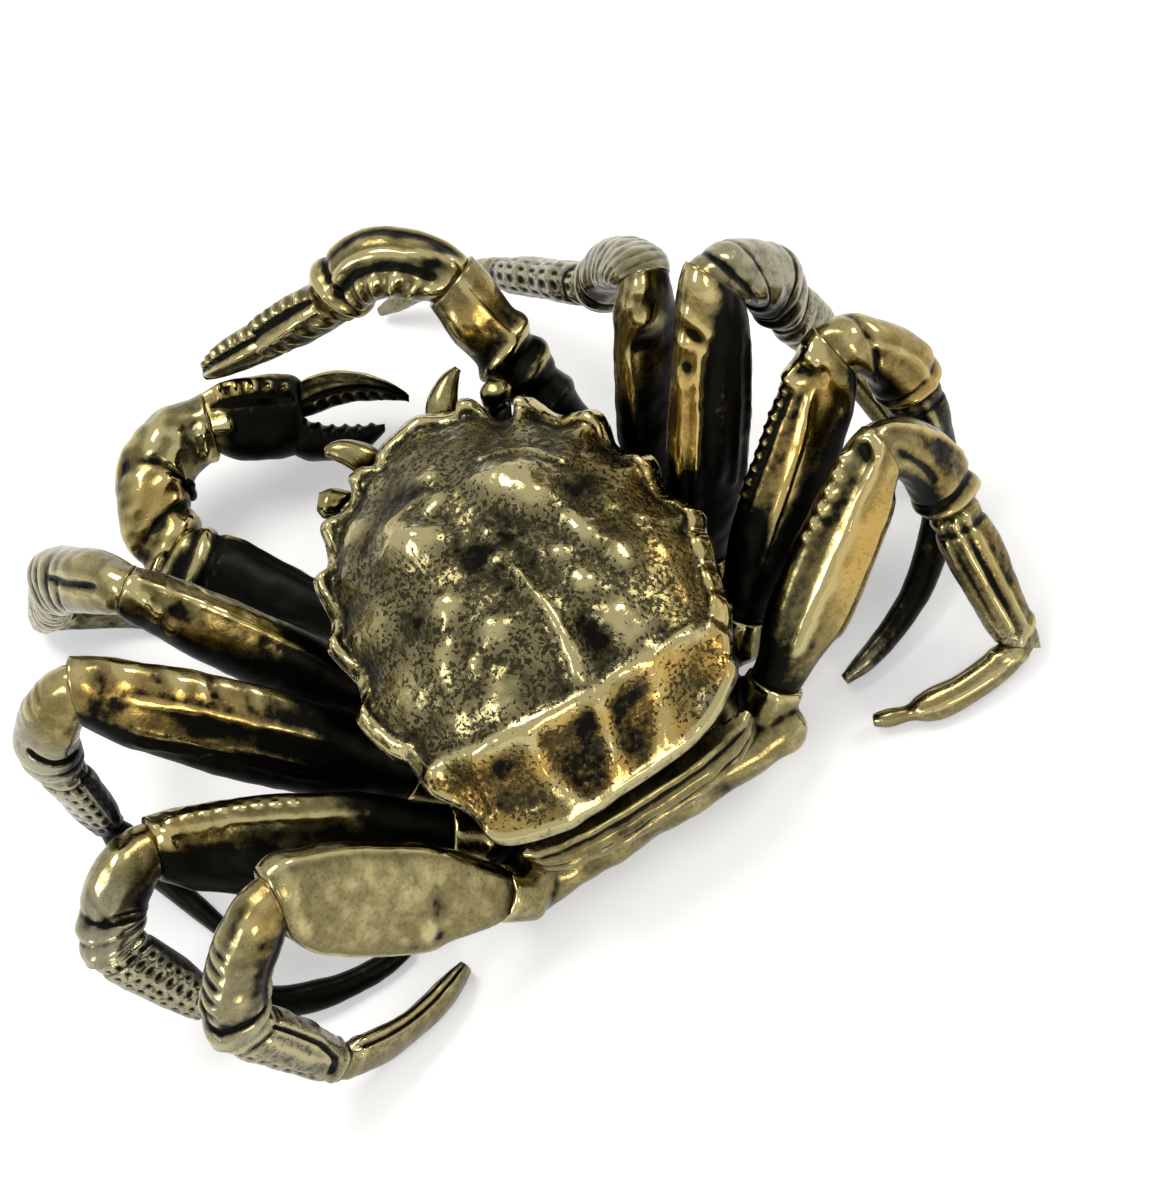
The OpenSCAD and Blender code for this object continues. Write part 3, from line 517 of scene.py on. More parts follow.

# What each limb piece has of its own: more forms, its own patina, wear and tone, warm below 0 and silvery above, and
# the painted shade of its lower side
OWN = {
    "left_leg_1_upper": dict(
        dark_low=0.9,
        more=(
            ("knob", 0.98, 40, 0.04, 24, 0.25), ("knob", 0.92, 22, 0.03, 18, 0.22),
            ("knob", 0.87, 6, 0.03, 18, 0.22), ("knob", 0.81, -10, 0.03, 16, 0.2),
            ("line", ((0.97, 60), (0.6, 52), (0.15, 48)), 0.12, 0.12), ("knob", 0.74, 50, 0.03, 18, 0.14),
            ("knob", 0.66, 54, 0.03, 18, 0.12), ("knob", 0.79, 22, 0.05, 26, -0.1),
        ),
        spots=(
            ("tone", 0.7, -20, 0.12, 40, -0.9), ("tone", 0.55, 40, 0.1, 30, -0.5),
            ("dark", 0.9, -40, 0.1, 30, 0.5), ("dark", 0.6, 12, 0.26, 34, 0.32),
        ),
    ),
    "left_leg_1_knee": dict(
        tone=((0, -0.1), (0.3, 0.2), (1, 1)),
        more=(
            ("knob", 0.1, 42, 0.08, 28, 0.2), ("line", ((0.2, 12), (0.38, 8), (0.55, 12)), 0.12, -0.3),
            ("rows", 0.5, 0.98, 0, 60, 8, 0.5, -0.16), ("knob", 0.3, 60, 0.1, 24, 0.16),
        ),
    ),
    "left_leg_1_shin": dict(tone=((0, 1), (1, 0.5)), more=(("rows", 0.05, 0.7, -60, 70, 9, 0.6, -0.18),)),
    "left_leg_1_toe": dict(tone=((0, 0.4), (1, 0.9)), dark=((0, 0.4), (0.6, 0.3), (1, 0))),
    "left_leg_2_upper": dict(
        dark_low=0.8, thick=((0, 0.95), (0.1, 1), (0.3, 1.02), (0.55, 1), (0.78, 1.05), (0.92, 1.16), (1, 1.06)),
        more=(
            ("knob", 0.96, 40, 0.04, 26, 0.14), ("knob", 0.84, 58, 0.035, 22, 0.18),
            ("knob", 0.69, 52, 0.03, 20, 0.16), ("knob", 0.62, 52, 0.02, 16, 0.14),
            ("line", ((0.75, 90), (0.75, 50)), 0.05, -0.06), ("line", ((0.61, 95), (0.6, 45)), 0.05, -0.06),
            ("line", ((0.52, 80), (0.5, 40)), 0.05, -0.05),
            ("line", ((0.82, -40), (0.6, -22), (0.27, -20)), 0.06, 0.16),
            ("line", ((0.82, -18), (0.5, -6), (0.27, -6)), 0.06, 0.14),
            ("line", ((0.8, 18), (0.5, 22), (0.3, 24)), 0.09, 0.12),
            ("line", ((0.8, -28), (0.3, -13)), 0.06, -0.12),
        ),
        spots=(
            ("tone", 0.8, 20, 0.25, 40, -0.8), ("dark", 0.92, 8, 0.06, 18, 0.3),
            ("tone", 0.55, 20, 0.1, 30, -0.5), ("dark", 0.55, 12, 0.24, 24, 0.5),
            # The narrow wear streaks at -22 and -6 paint the highlights of the two flank lines
            ("dark", 0.55, -30, 0.4, 24, 0.5), ("dark", 0.8, 30, 0.25, 40, 0.2), ("wear", 0.6, -22, 0.25, 7, 0.5),
            ("wear", 0.5, -6, 0.25, 7, 0.4), ("dark", 0.7, -12, 0.2, 6, -0.4),
        ),
    ),
    "left_leg_2_knee": dict(
        tone=((0, -0.3), (0.35, 0.0), (0.55, 0.8), (1, 1)),
        more=(
            ("line", ((0.62, -90), (0.64, -40), (0.62, 0)), 0.1, -0.35), ("knob", 0.35, 30, 0.12, 30, 0.14),
            ("rows", 0.2, 0.5, 60, 40, 12, 0.2, -0.05),
        ),
        spots=(("dark", 0.63, -50, 0.05, 50, 0.9), ("dark", 0.8, -100, 0.3, 40, 0.7)),
    ),
    "left_leg_2_shin": dict(
        tone=((0, 1), (1, 0.9)), dark=((0, 0.0), (0.5, 0.1), (1, 0.8)),
        more=(("rows", 0.05, 0.95, -50, 50, 7, 0.4, -0.16, 11), ("line", ((0.05, -95), (0.9, -90)), 0.14, -0.3)),
        spots=(("dark", 0.4, -110, 0.6, 35, 1.0),),
    ),
    "left_leg_2_toe": dict(dark=((0, 0.9), (1, 0.7))),
    "left_leg_3_upper": dict(
        dark_low=0.95, low_from=-20,
        more=(
            ("rows", 0.5, 0.97, 62, 26, 17, 0.3, 0.16, 12), ("knob", 0.96, 32, 0.04, 24, 0.25),
            ("line", ((0.95, 38), (0.6, 36), (0.3, 40)), 0.14, 0.07),
            ("line", ((0.9, -70), (0.5, -75)), 0.12, 0.15), ("line", ((0.85, 12), (0.4, 14)), 0.2, -0.08),
        ),
        spots=(("tone", 0.9, 10, 0.12, 40, -0.6), ("dark", 0.8, -25, 0.14, 30, 0.5)),
    ),
    "left_leg_3_knee": dict(
        tone=((0, -0.4), (0.35, 0.1), (0.6, 0.7), (1, 0.9)),
        more=(
            ("knob", 0.28, 46, 0.1, 30, 0.22), ("collar", 0.84, 0.05, 0.1, 0.1),
            ("collar", 0.72, 0.025, -0.07, 0.1), ("line", ((0.55, 80), (0.66, 30), (0.6, -20)), 0.08, -0.06),
        ),
        spots=(("dark", 0.45, -40, 0.4, 40, 0.7), ("dark", 0.7, 20, 0.04, 90, 0.5)),
    ),
    "left_leg_3_shin": dict(
        tone=((0, 0.9), (1, 0.8)), more=(("rows", 0.05, 0.97, 20, 60, 9, 0.3, -0.18, 14),),
        spots=(("dark", 0.5, -70, 0.6, 35, 1.0),),
    ),
    "left_leg_3_toe": dict(dark=((0, 0.9), (1, 0.7))),
    "left_leg_4_upper": dict(
        dark=((0, 0.3), (0.08, 0.1), (0.16, 0.0), (1, 0.0)), near=0.1, square=0.72, lump=0.04,
        width=((0, 0.5), (0.12, 0.7), (0.3, 0.96), (0.55, 1.04), (0.8, 0.98), (0.94, 0.84), (1, 0.62)),
        more=(
            ("knob", 0.37, -22, 0.035, 14, 0.16), ("knob", 0.34, 0, 0.03, 12, -0.12),
            ("knob", 0.31, -35, 0.03, 14, -0.12), ("line", ((0.9, 62), (0.6, 70), (0.3, 66)), 0.14, 0.12),
            ("line", ((0.93, -60), (0.6, -72), (0.3, -66)), 0.1, 0.1), ("knob", 0.94, 10, 0.04, 40, 0.12),
        ),
        spots=(
            ("wear", 0.55, 20, 0.3, 60, 0.16), ("dark", 0.5, -45, 0.07, 12, 0.35),
            ("dark", 0.62, -30, 0.05, 10, 0.3), ("dark", 0.42, -48, 0.05, 10, 0.35),
            ("tone", 0.6, 0, 0.5, 90, 0.06), ("dark", 0.3, -10, 0.03, 40, 0.35),
        ),
    ),
    "left_leg_4_knee": dict(
        tone=((0, -0.3), (0.4, 0.2), (1, 0.6)),
        more=(
            ("knob", 0.1, 36, 0.08, 24, 0.16), ("knob", 0.24, 42, 0.08, 24, 0.14),
            ("rows", 0.42, 0.8, 78, 30, 13, 0.4, -0.14),
            ("line", ((0.72, 100), (0.86, 40), (0.82, -40)), 0.08, -0.16),
            ("line", ((0.1, -30), (0.5, -40), (0.8, -50)), 0.16, -0.14),
        ),
        spots=(
            ("dark", 0.35, -30, 0.35, 26, 0.9), ("dark", 0.25, 60, 0.16, 14, 0.5),
            ("tone", 0.15, 10, 0.15, 40, -0.5), ("dark", 0.82, 20, 0.05, 60, 0.7),
        ),
    ),
    "left_leg_4_shin": dict(
        tone=((0, 0.5), (1, 0.4)), square=0.7,
        more=(
            ("line", ((0.15, -50), (0.6, -48), (0.8, -30), (0.86, 0)), 0.1, -0.3),
            ("line", ((0.2, -10), (0.6, -6), (0.8, -16)), 0.12, 0.12),
            ("rows", 0.1, 0.8, 35, 30, 9, 0.5, -0.1, 12), ("collar", 0.95, 0.03, 0.12),
        ),
        spots=(
            ("dark", 0.5, -48, 0.35, 9, 0.9), ("dark", 0.83, -14, 0.04, 20, 0.8), ("dark", 0.5, 90, 0.6, 30, 0.4),
        ),
    ),
    "left_leg_4_toe": dict(
        dark=((0, 0.0), (1, 0.1)), tone=((0, 0.3), (1, 0.0)), near=0.1, square=0.75,
        width=((0, 0.94), (0.14, 1.06), (0.42, 1.0), (0.72, 0.86), (0.92, 0.7), (1, 0.5)),
        more=(
            ("line", ((0.1, -112), (0.95, -104)), 0.1, -0.25), ("line", ((0.1, -80), (0.95, -80)), 0.08, -0.2),
            ("line", ((0.06, -96), (0.95, -92)), 0.1, 0.14), ("knob", 0.06, -62, 0.035, 20, 0.16),
        ),
        spots=(
            ("dark", 0.5, -112, 0.6, 9, 1.0), ("dark", 0.5, -79, 0.6, 6, 0.8), ("dark", 0.4, 170, 0.6, 45, 1.0),
            ("tone", 0.4, -95, 0.3, 10, -0.6),
        ),
    ),
    "right_leg_1_upper": dict(
        dark_low=0.8, dark=((0, 1), (0.3, 0.9), (0.5, 0.5), (0.65, 0.1), (1, 0.0)),
        more=(
            ("knob", 0.93, 30, 0.04, 28, 0.2), ("knob", 0.82, 24, 0.035, 26, 0.22),
            ("knob", 0.72, 30, 0.03, 22, -0.2), ("line", ((0.68, 60), (0.5, 50), (0.3, 50)), 0.14, 0.16),
            ("knob", 0.87, 60, 0.03, 20, 0.12),
        ),
        spots=(
            ("tone", 0.62, 40, 0.2, 40, -0.5), ("dark", 0.72, 30, 0.03, 20, 0.35),
            ("dark", 0.77, 50, 0.02, 20, 0.3),
        ),
    ),
    "right_leg_1_knee": dict(
        tone=((0, 0.0), (0.3, 0.6), (1, 0.8)), dark=((0, 0.2), (1, 0.25)),
        more=(("rows", 0.05, 0.9, 30, 80, 11, 0.6, -0.05),), spots=(("dark", 0.5, -60, 0.5, 40, 0.5),),
    ),
    "right_leg_1_shin": dict(
        tone=((0, 0.7), (1, 0.8)), dark=((0, 0.25), (1, 0.3)),
        more=(("rows", 0.05, 0.95, 85, 60, 8, 0.3, -0.14, 12),),
    ),
    "right_leg_1_toe": dict(tone=((0, 0.6), (1, 0.6)), dark=((0, 0.1), (1, 0.1))),
    "right_leg_2_upper": dict(
        dark_low=1.0, low_from=-30,
        more=(
            ("knob", 0.84, 62, 0.03, 22, 0.26), ("knob", 0.81, 26, 0.03, 20, 0.18),
            ("knob", 0.76, 62, 0.03, 20, 0.26), ("knob", 0.76, 28, 0.02, 14, 0.12),
            ("knob", 0.79, 44, 0.025, 18, -0.14), ("knob", 0.95, 40, 0.05, 34, 0.16),
            ("line", ((0.72, 70), (0.5, 60), (0.3, 60)), 0.16, 0.14),
            ("line", ((0.72, 34), (0.5, 30), (0.25, 32)), 0.08, 0.14),
            ("line", ((0.85, -2), (0.3, -2)), 0.05, 0.14), ("line", ((0.85, -24), (0.3, -22)), 0.05, 0.14),
            ("line", ((0.85, -46), (0.3, -44)), 0.05, 0.14), ("line", ((0.8, 14), (0.3, 14)), 0.06, -0.12),
            ("knob", 0.68, 56, 0.02, 16, -0.1), ("line", ((0.9, -10), (0.99, -14)), 0.08, -0.1),
        ),
        spots=(
            ("tone", 0.55, 50, 0.3, 30, -0.9), ("wear", 0.5, 42, 0.25, 12, 0.35),
            ("dark", 0.68, 56, 0.02, 16, 0.3), ("dark", 0.79, 44, 0.02, 18, 0.35),
            ("wear", 0.5, -24, 0.4, 6, 0.25), ("wear", 0.5, -2, 0.4, 6, 0.25),
        ),
    ),
    "right_leg_2_knee": dict(
        tone=((0, 0.0), (0.15, 0.5), (0.4, 0.9), (1, 0.8)),
        more=(
            ("collar", 0.34, 0.02, -0.08, 0.1), ("collar", 0.7, 0.02, -0.08, 0.1),
            ("rows", 0.1, 0.95, 0, 90, 2, 2.6, -0.02), ("collar", 0.12, 0.03, -0.1), ("collar", 0.5, 0.08, 0.1),
        ),
        dark=((0, 0.2), (1, 0.3)),
        spots=(
            ("dark", 0.12, 0, 0.03, 100, 0.6), ("dark", 0.5, -80, 0.6, 30, 0.6), ("dark", 0.7, 0, 0.02, 90, 0.4),
        ),
    ),
    "right_leg_2_shin": dict(tone=((0, 0.7), (1, 0.6)), more=(("rows", 0.1, 0.95, -45, 60, 6, 0.3, -0.12),)),
    "right_leg_2_toe": dict(dark=((0, 0.2), (0.5, 0.3), (1, 0.6)), tone=((0, -0.2), (1, 0.3))),
    "right_leg_3_upper": dict(
        dark_low=1.0, low_from=0,
        more=(
            ("rows", 0.36, 0.79, 80, 18, 22, 0.2, 0.2), ("knob", 0.82, 72, 0.036, 26, 0.5),
            ("knob", 0.93, 50, 0.045, 32, 0.46),
            ("line", ((0.8, 24), (0.7, 14), (0.52, 10), (0.25, 10)), 0.12, 0.26),
            ("line", ((0.86, 62), (0.9, 20)), 0.07, -0.18), ("line", ((0.75, 60), (0.4, 62)), 0.12, -0.1),
            ("knob", 0.9, 6, 0.05, 30, 0.12),
        ),
        spots=(
            ("tone", 0.66, 14, 0.25, 14, -1.0), ("wear", 0.66, 14, 0.25, 12, 0.5),
            ("tone", 0.88, 0, 0.06, 30, -0.8), ("dark", 0.55, 66, 0.25, 10, 0.3),
            ("dark", 0.9, -20, 0.08, 50, -0.7), ("dark", 0.55, 48, 0.22, 26, 0.42),
            ("tone", 0.6, 50, 0.25, 30, -0.6),
        ),
    ),
    "right_leg_3_knee": dict(
        tone=((0, -0.1), (0.6, -0.4), (1, -0.5)),
        more=(
            ("knob", 0.15, 30, 0.08, 40, 0.16), ("line", ((0.25, 90), (0.3, 0), (0.2, -60)), 0.1, -0.14),
            ("collar", 0.92, 0.04, 0.12), ("line", ((0.3, 20), (0.9, 16)), 0.12, 0.12),
        ),
        spots=(("dark", 0.5, -60, 0.5, 36, 0.9), ("tone", 0.92, 0, 0.06, 60, -0.5)),
    ),
    "right_leg_3_shin": dict(
        dark=((0, 0.7), (0.5, 0.6), (1, 0.6)), more=(("line", ((0.1, 0), (0.8, 10)), 0.12, 0.16),),
    ),
    "right_leg_3_toe": dict(
        dark=((0, 0.8), (0.6, 0.7), (1, 0.3)),
        spots=(
            ("tone", 0.35, 30, 0.15, 30, -1.0), ("dark", 0.35, 34, 0.16, 12, -0.5),
            ("tone", 0.85, 0, 0.2, 90, 0.7),
        ),
    ),
    "right_leg_4_upper": dict(
        near=0.3, dark=((0, 0.7), (0.12, 0.4), (0.3, 0.1), (1, 0.0)),
        more=(
            ("knob", 0.86, 72, 0.028, 16, 0.36), ("knob", 0.8, 66, 0.026, 16, 0.38),
            ("knob", 0.735, 62, 0.026, 15, 0.38), ("knob", 0.67, 60, 0.026, 15, 0.36),
            ("knob", 0.61, 62, 0.022, 13, 0.28), ("knob", 0.55, 66, 0.02, 12, 0.2),
            ("line", ((0.99, 20), (0.9, 12), (0.74, 8), (0.42, 4), (0.2, 2)), 0.14, 0.3),
            ("line", ((0.95, 70), (0.985, 46), (0.95, 16)), 0.08, 0.22), ("knob", 0.92, 42, 0.03, 22, -0.12),
            ("line", ((0.8, 34), (0.3, 34)), 0.2, -0.05), ("line", ((0.92, -30), (0.3, -32)), 0.3, -0.07),
            ("line", ((0.9, -74), (0.3, -74)), 0.1, 0.12),
        ),
        spots=(
            # The warm, worn patch on the rear facet paints the golden light it reflects from behind
            ("tone", 0.65, -30, 0.4, 38, -1.25), ("wear", 0.65, -30, 0.4, 38, 0.4),
            ("dark", 0.92, 42, 0.03, 20, 0.25), ("dark", 0.55, 80, 0.35, 14, 0.9),
            ("dark", 0.72, -40, 0.16, 6, 0.2), ("tone", 0.3, -30, 0.2, 60, 0.3), ("dark", 0.5, 44, 0.36, 26, 0.3),
        ),
    ),
    "right_leg_4_knee": dict(
        tone=((0, 0.0), (0.5, -0.4), (1, -0.3)), dark=((0, 0.15), (0.5, 0.3), (1, 0.2)),
        more=(
            ("collar", 0.93, 0.04, 0.2, -0.12), ("collar", 0.83, 0.035, -0.16, -0.12),
            ("line", ((0.1, 60), (0.4, 40), (0.7, 44)), 0.16, 0.14),
            ("line", ((0.1, 0), (0.5, -30)), 0.14, -0.12),
        ),
        spots=(
            ("dark", 0.5, 10, 0.14, 30, 0.3), ("dark", 0.5, -70, 0.6, 30, 0.8), ("dark", 0.82, 0, 0.04, 70, 0.4),
        ),
    ),
    "right_leg_4_shin": dict(
        dark=((0, 0.35), (0.7, 0.25), (0.85, 0.0), (1, 0.0)), tone=((0, 0), (0.8, 0.0), (1, 0.5)),
        more=(
            ("line", ((0.08, -40), (0.5, -30), (0.85, -25)), 0.1, 0.2),
            ("line", ((0.08, -8), (0.5, 0), (0.85, 5)), 0.1, 0.16),
            ("line", ((0.1, -66), (0.8, -60)), 0.14, -0.06),
            ("line", ((0.8, 50), (0.9, 0), (0.98, -20)), 0.1, 0.16),
        ),
        spots=(
            ("wear", 0.45, -33, 0.4, 8, 0.5), ("dark", 0.45, -33, 0.4, 7, -0.4), ("tone", 0.3, 20, 0.3, 30, -0.5),
        ),
    ),
    "right_leg_4_toe": dict(
        dark=((0, 0.0), (1, 0.0)),
        width=(
            (0, 0.9), (0.14, 1.06), (0.42, 1.06), (0.66, 1.0), (0.72, 0.84), (0.76, 0.62), (0.92, 0.56), (1, 0.4),
        ),
        thick=(
            (0, 0.9), (0.14, 1.04), (0.42, 1.04), (0.66, 1.0), (0.72, 0.84), (0.76, 0.62), (0.92, 0.56), (1, 0.4),
        ),
        more=(("line", ((0.1, -20), (0.65, -40)), 0.16, 0.08),),
        spots=(("wear", 0.4, -35, 0.4, 12, 0.4), ("tone", 0.6, -60, 0.2, 30, -0.3)),
    ),
    "left_claw_arm": dict(
        dark=((0, 1), (0.75, 0.95), (0.85, 0.45), (1, 0.3)), square=0.7,
        more=(
            ("line", ((0.1, 78), (0.7, 74), (0.86, 70)), 0.09, 0.2), ("collar", 0.97, 0.03, 0.14, -0.1),
            ("collar", 0.85, 0.03, 0.24, -0.2), ("collar", 0.79, 0.025, -0.18, -0.2),
            ("line", ((0.9, 60), (0.8, 0), (0.9, -60)), 0.1, 0.12), ("knob", 0.08, -20, 0.06, 60, 0.16),
        ),
        spots=(("wear", 0.4, 76, 0.5, 8, 0.6), ("dark", 0.4, 76, 0.5, 8, -0.5), ("dark", 0.93, 0, 0.05, 90, 0.2)),
    ),
    "left_claw_wrist": dict(
        more=(
            ("knob", 0.66, 0, 0.1, 40, 0.24), ("knob", 0.33, -10, 0.12, 40, 0.2),
            ("knob", 0.8, -20, 0.08, 30, 0.16), ("line", ((0.5, 60), (0.56, 0), (0.5, -60)), 0.16, -0.2),
            ("collar", 0.05, 0.04, 0.16, -0.05), ("collar", 0.15, 0.03, -0.14, -0.05),
            ("line", ((0.99, 90), (0.93, 60), (0.95, 0)), 0.1, 0.2), ("knob", 0.4, 60, 0.08, 24, -0.14),
            ("knob", 0.6, 100, 0.12, 30, -0.2),
        ),
        spots=(
            ("tone", 0.3, 20, 0.2, 50, -0.6), ("dark", 0.4, 70, 0.3, 30, 0.5), ("dark", 0.1, 0, 0.06, 90, 0.3),
        ),
        tone=((0, -0.2), (1, 0.1)),
    ),
    "left_claw_palm": dict(
        dark=((0, 0.3), (0.2, 0.8), (1, 1.0)), close=0.2,
        width=((0, 0.72), (0.16, 0.9), (0.5, 1), (0.8, 0.98), (0.94, 0.88), (1, 0.74)),
        thick=((0, 0.9), (0.16, 1), (0.5, 1.02), (0.8, 0.94), (0.94, 0.8), (1, 0.62)),
        more=(
            ("line", ((0.02, -60), (0.3, -66), (0.7, -80), (1, -86)), 0.2, 0.3),
            ("rows", 0.1, 0.9, -50, 12, 6, 0.2, 0.22), ("line", ((0.0, 10), (0.2, 4)), 0.16, 0.3),
            ("line", ((0.1, -28), (0.9, -30)), 0.1, -0.2),
        ),
        spots=(
            ("dark", 0.35, -62, 0.5, 26, -0.9), ("tone", 0.35, -60, 0.4, 24, -0.7),
            ("dark", 0.1, 0, 0.12, 40, -0.6), ("wear", 0.3, -60, 0.4, 16, 0.3),
        ),
    ),
    "left_claw_finger": dict(
        dark=((0, 0.55), (0.5, 0.55), (1, 0.85)),
        more=(
            ("line", ((0, -60), (0.5, -50), (0.95, -40)), 0.16, 0.14), ("rows", 0.1, 0.9, 40, 24, 8, 0.1, 0.12),
            ("line", ((0, 10), (0.9, 0)), 0.1, -0.12),
        ),
        spots=(
            ("wear", 0.4, -60, 0.5, 16, 0.5), ("dark", 0.4, -64, 0.5, 18, -0.5), ("dark", 0.4, 60, 0.6, 40, 0.5),
        ),
    ),
    "left_claw_fixed": dict(dark=((0, 1), (1, 0.9)), more=(("rows", 0.05, 0.95, -60, 30, 7, 0, 0.18),)),
    "right_claw_arm": dict(
        dark=((0, 1), (0.35, 0.9), (0.62, 0.7), (0.74, 0.25), (1, 0.1)), square=0.98,
        width=((0, 0.72), (0.1, 0.82), (0.24, 0.76), (0.55, 0.86), (0.7, 0.86), (0.86, 0.92), (1, 0.86)),
        thick=((0, 0.74), (0.1, 0.84), (0.24, 0.8), (0.55, 0.88), (0.7, 0.88), (0.86, 0.94), (1, 0.86)),
        more=(
            ("collar", 0.64, 0.035, 0.3, 0.06), ("collar", 0.57, 0.025, -0.2, 0.06),
            ("collar", 0.5, 0.03, 0.26, 0.06), ("collar", 0.42, 0.025, -0.16), ("collar", 0.34, 0.03, 0.2),
            ("knob", 0.68, -30, 0.05, 40, 0.14), ("line", ((0.95, -10), (0.72, -20)), 0.16, 0.14),
        ),
        spots=(
            ("tone", 0.82, -10, 0.1, 50, -1.0), ("wear", 0.63, 0, 0.03, 80, 0.6), ("wear", 0.5, 0, 0.03, 80, 0.5),
            ("dark", 0.63, 0, 0.025, 80, -0.5), ("dark", 0.5, 0, 0.025, 80, -0.5),
        ),
    ),
    "right_claw_wrist": dict(
        lump=0.07,
        more=(
            ("knob", 0.06, 22, 0.07, 30, 0.3),
            ("line", ((0.08, -30), (0.3, -10), (0.6, -12), (0.86, -8)), 0.12, 0.26),
            ("rows", 0.14, 0.8, 44, 34, 6.5, 0.1, 0.24), ("collar", 0.9, 0.045, 0.26, 0.06),
            ("collar", 0.82, 0.03, -0.24, 0.06), ("line", ((0.1, -55), (0.8, -50)), 0.22, -0.14),
            ("line", ((0.12, 8), (0.78, 10)), 0.1, -0.16),
        ),
        spots=(
            ("dark", 0.4, -50, 0.3, 16, 0.5), ("tone", 0.4, -50, 0.3, 20, -0.6), ("dark", 0.45, 10, 0.35, 7, 0.3),
            ("dark", 0.15, 0, 0.05, 60, 0.4),
        ),
    ),
    "right_claw_palm": dict(
        dark=((0, 0.2), (1, 0.35)),
        more=(
            ("line", ((0.05, 100), (0.95, 112)), 0.12, 0.2), ("line", ((0.05, 76), (0.95, 84)), 0.1, -0.22),
            ("rows", 0.05, 0.98, 52, 22, 6, 0.2, 0.22), ("rows", 0.05, 0.98, 140, 24, 5, 0.2, 0.18),
        ),
        spots=(("dark", 0.5, 80, 0.6, 9, 0.8), ("wear", 0.5, 104, 0.5, 12, 0.4)),
    ),
    "right_claw_finger": dict(
        dark=((0, 0.35), (1, 0.4)), more=(("rows", 0.05, 0.9, 60, 24, 7, 0.1, 0.14),),
        spots=(("wear", 0.4, 90, 0.5, 20, 0.3),),
    ),
    "right_claw_fixed": dict(
        dark=((0, 0.3), (1, 0.35)),
        more=(
            ("rows", 0.02, 0.9, 62, 24, 7, 0.2, 0.18), ("line", ((0.02, 112), (0.9, 110)), 0.12, 0.14),
            ("line", ((0.02, 88), (0.9, 88)), 0.09, -0.16),
        ),
        spots=(("wear", 0.4, 108, 0.5, 14, 0.4), ("dark", 0.4, 88, 0.6, 7, 0.6)),
    ),
}


def look_of(name):
    """The plain look of a limb piece, with what this piece has of its own."""
    own = dict(OWN.get(name, {}))
    look = dict(PLAIN[name.rsplit("_", 1)[1]])
    look["forms"] = look.get("forms", ()) + own.pop("more", ())
    look.update(own)
    return look


def seed_of(name):
    return sum((i + 3) * ord(c) for i, c in enumerate(name)) % 9973


# ---- Shell ----

# Rim of the shell from its front round its left side: place across and along
RIM = (
    (-0.6, -12.15), (0.8, -12.1), (1.9, -11.8), (2.6, -11.25), (3.3, -11.5), (4.05, -11.35), (4.35, -10.6),
    (5.2, -10.15), (6.5, -9.8), (6.9, -8.9), (7.35, -8.0), (8.4, -7.35), (8.6, -6.4), (8.7, -5.3), (9.15, -4.5),
    (9.6, -3.85), (9.45, -2.9), (9.2, -1.7), (9.55, -0.6), (10.15, 0.3), (10.05, 1.2), (9.65, 2.5), (9.1, 3.5),
    (9.05, 4.6), (8.9, 5.4), (8.25, 6.3), (7.75, 7.3), (7.65, 8.1), (7.6, 8.9), (6.9, 9.55), (5.8, 10.0),
    (4.9, 10.25), (3.8, 10.5), (2.9, 10.45), (2.0, 10.5), (1.0, 10.4), (0.0, 10.4), (-1.8, 10.35),
    (-3.5, 10.2), (-5.2, 9.65), (-6.3, 9.0), (-7.25, 8.4), (-7.4, 7.7), (-7.8, 7.0), (-8.2, 6.2),
    (-8.75, 5.4), (-8.85, 4.7), (-9.1, 3.9), (-9.3, 3.0), (-9.6, 2.1), (-9.7, 1.4), (-10.15, 0.7), (-9.9, 0.2),
    (-9.8, -0.4), (-9.3, -1.2), (-9.25, -2.2), (-9.55, -2.9), (-9.4, -3.6), (-8.7, -4.4), (-8.35, -5.3),
    (-8.6, -6.2), (-8.45, -6.9), (-7.8, -7.4), (-7.0, -7.85), (-6.5, -8.6), (-6.1, -9.4), (-5.65, -10.1),
    (-5.0, -9.55), (-4.4, -9.5), (-3.9, -10.0), (-3.6, -10.9), (-3.0, -11.6), (-2.4, -11.35), (-1.6, -11.7),
)
# Bosses of the shell: across, along, radius across, radius along, height
BOSSES = (
    (-3.1, -3.8, 1.9, 1.7, 1.3), (-1.9, -5.2, 1.1, 0.9, 0.35), (-3.6, -2.1, 1.0, 0.9, 0.35),
    (3.5, -4.6, 1.3, 1.4, 1.1), (2.3, -3.6, 1.05, 1.05, 0.8), (1.2, -5.4, 1.0, 0.6, 0.3),
    (0.5, -7.2, 0.5, 0.5, 0.35), (-0.4, -2.2, 0.6, 0.6, 0.42), (-0.15, -0.7, 1.2, 0.85, 0.42),
    (-4.55, -0.2, 0.8, 1.2, 0.6), (-2.9, 0.6, 0.6, 0.6, 0.42), (-3.3, 2.3, 0.75, 0.8, 0.5),
    (-7.35, 0.1, 0.42, 0.42, 0.3), (-5.5, 1.8, 0.75, 1.0, 0.4), (3.3, -0.1, 0.95, 0.85, 0.6),
    (1.9, 2.2, 0.85, 0.8, 0.5), (4.6, 1.6, 0.8, 0.9, 0.32), (3.6, 2.9, 0.42, 0.42, 0.35),
    (-3.75, 4.8, 1.15, 1.5, 0.55), (3.2, 4.9, 1.2, 1.2, 0.4), (5.2, -7.4, 1.3, 1.0, 0.35),
    (-6.9, -4.2, 1.1, 1.1, 0.3), (6.6, -2.4, 1.1, 1.1, 0.25), (7.1, 1.4, 1.0, 1.2, 0.22),
    (-6.6, -1.5, 0.9, 1.0, 0.22), (5.6, 4.2, 1.0, 0.9, 0.22), (-1.9, 4.2, 0.7, 0.8, -0.35),
    (-2.2, 5.3, 0.8, 0.7, -0.3), (0.9, -1.5, 0.7, 0.7, -0.2),
)
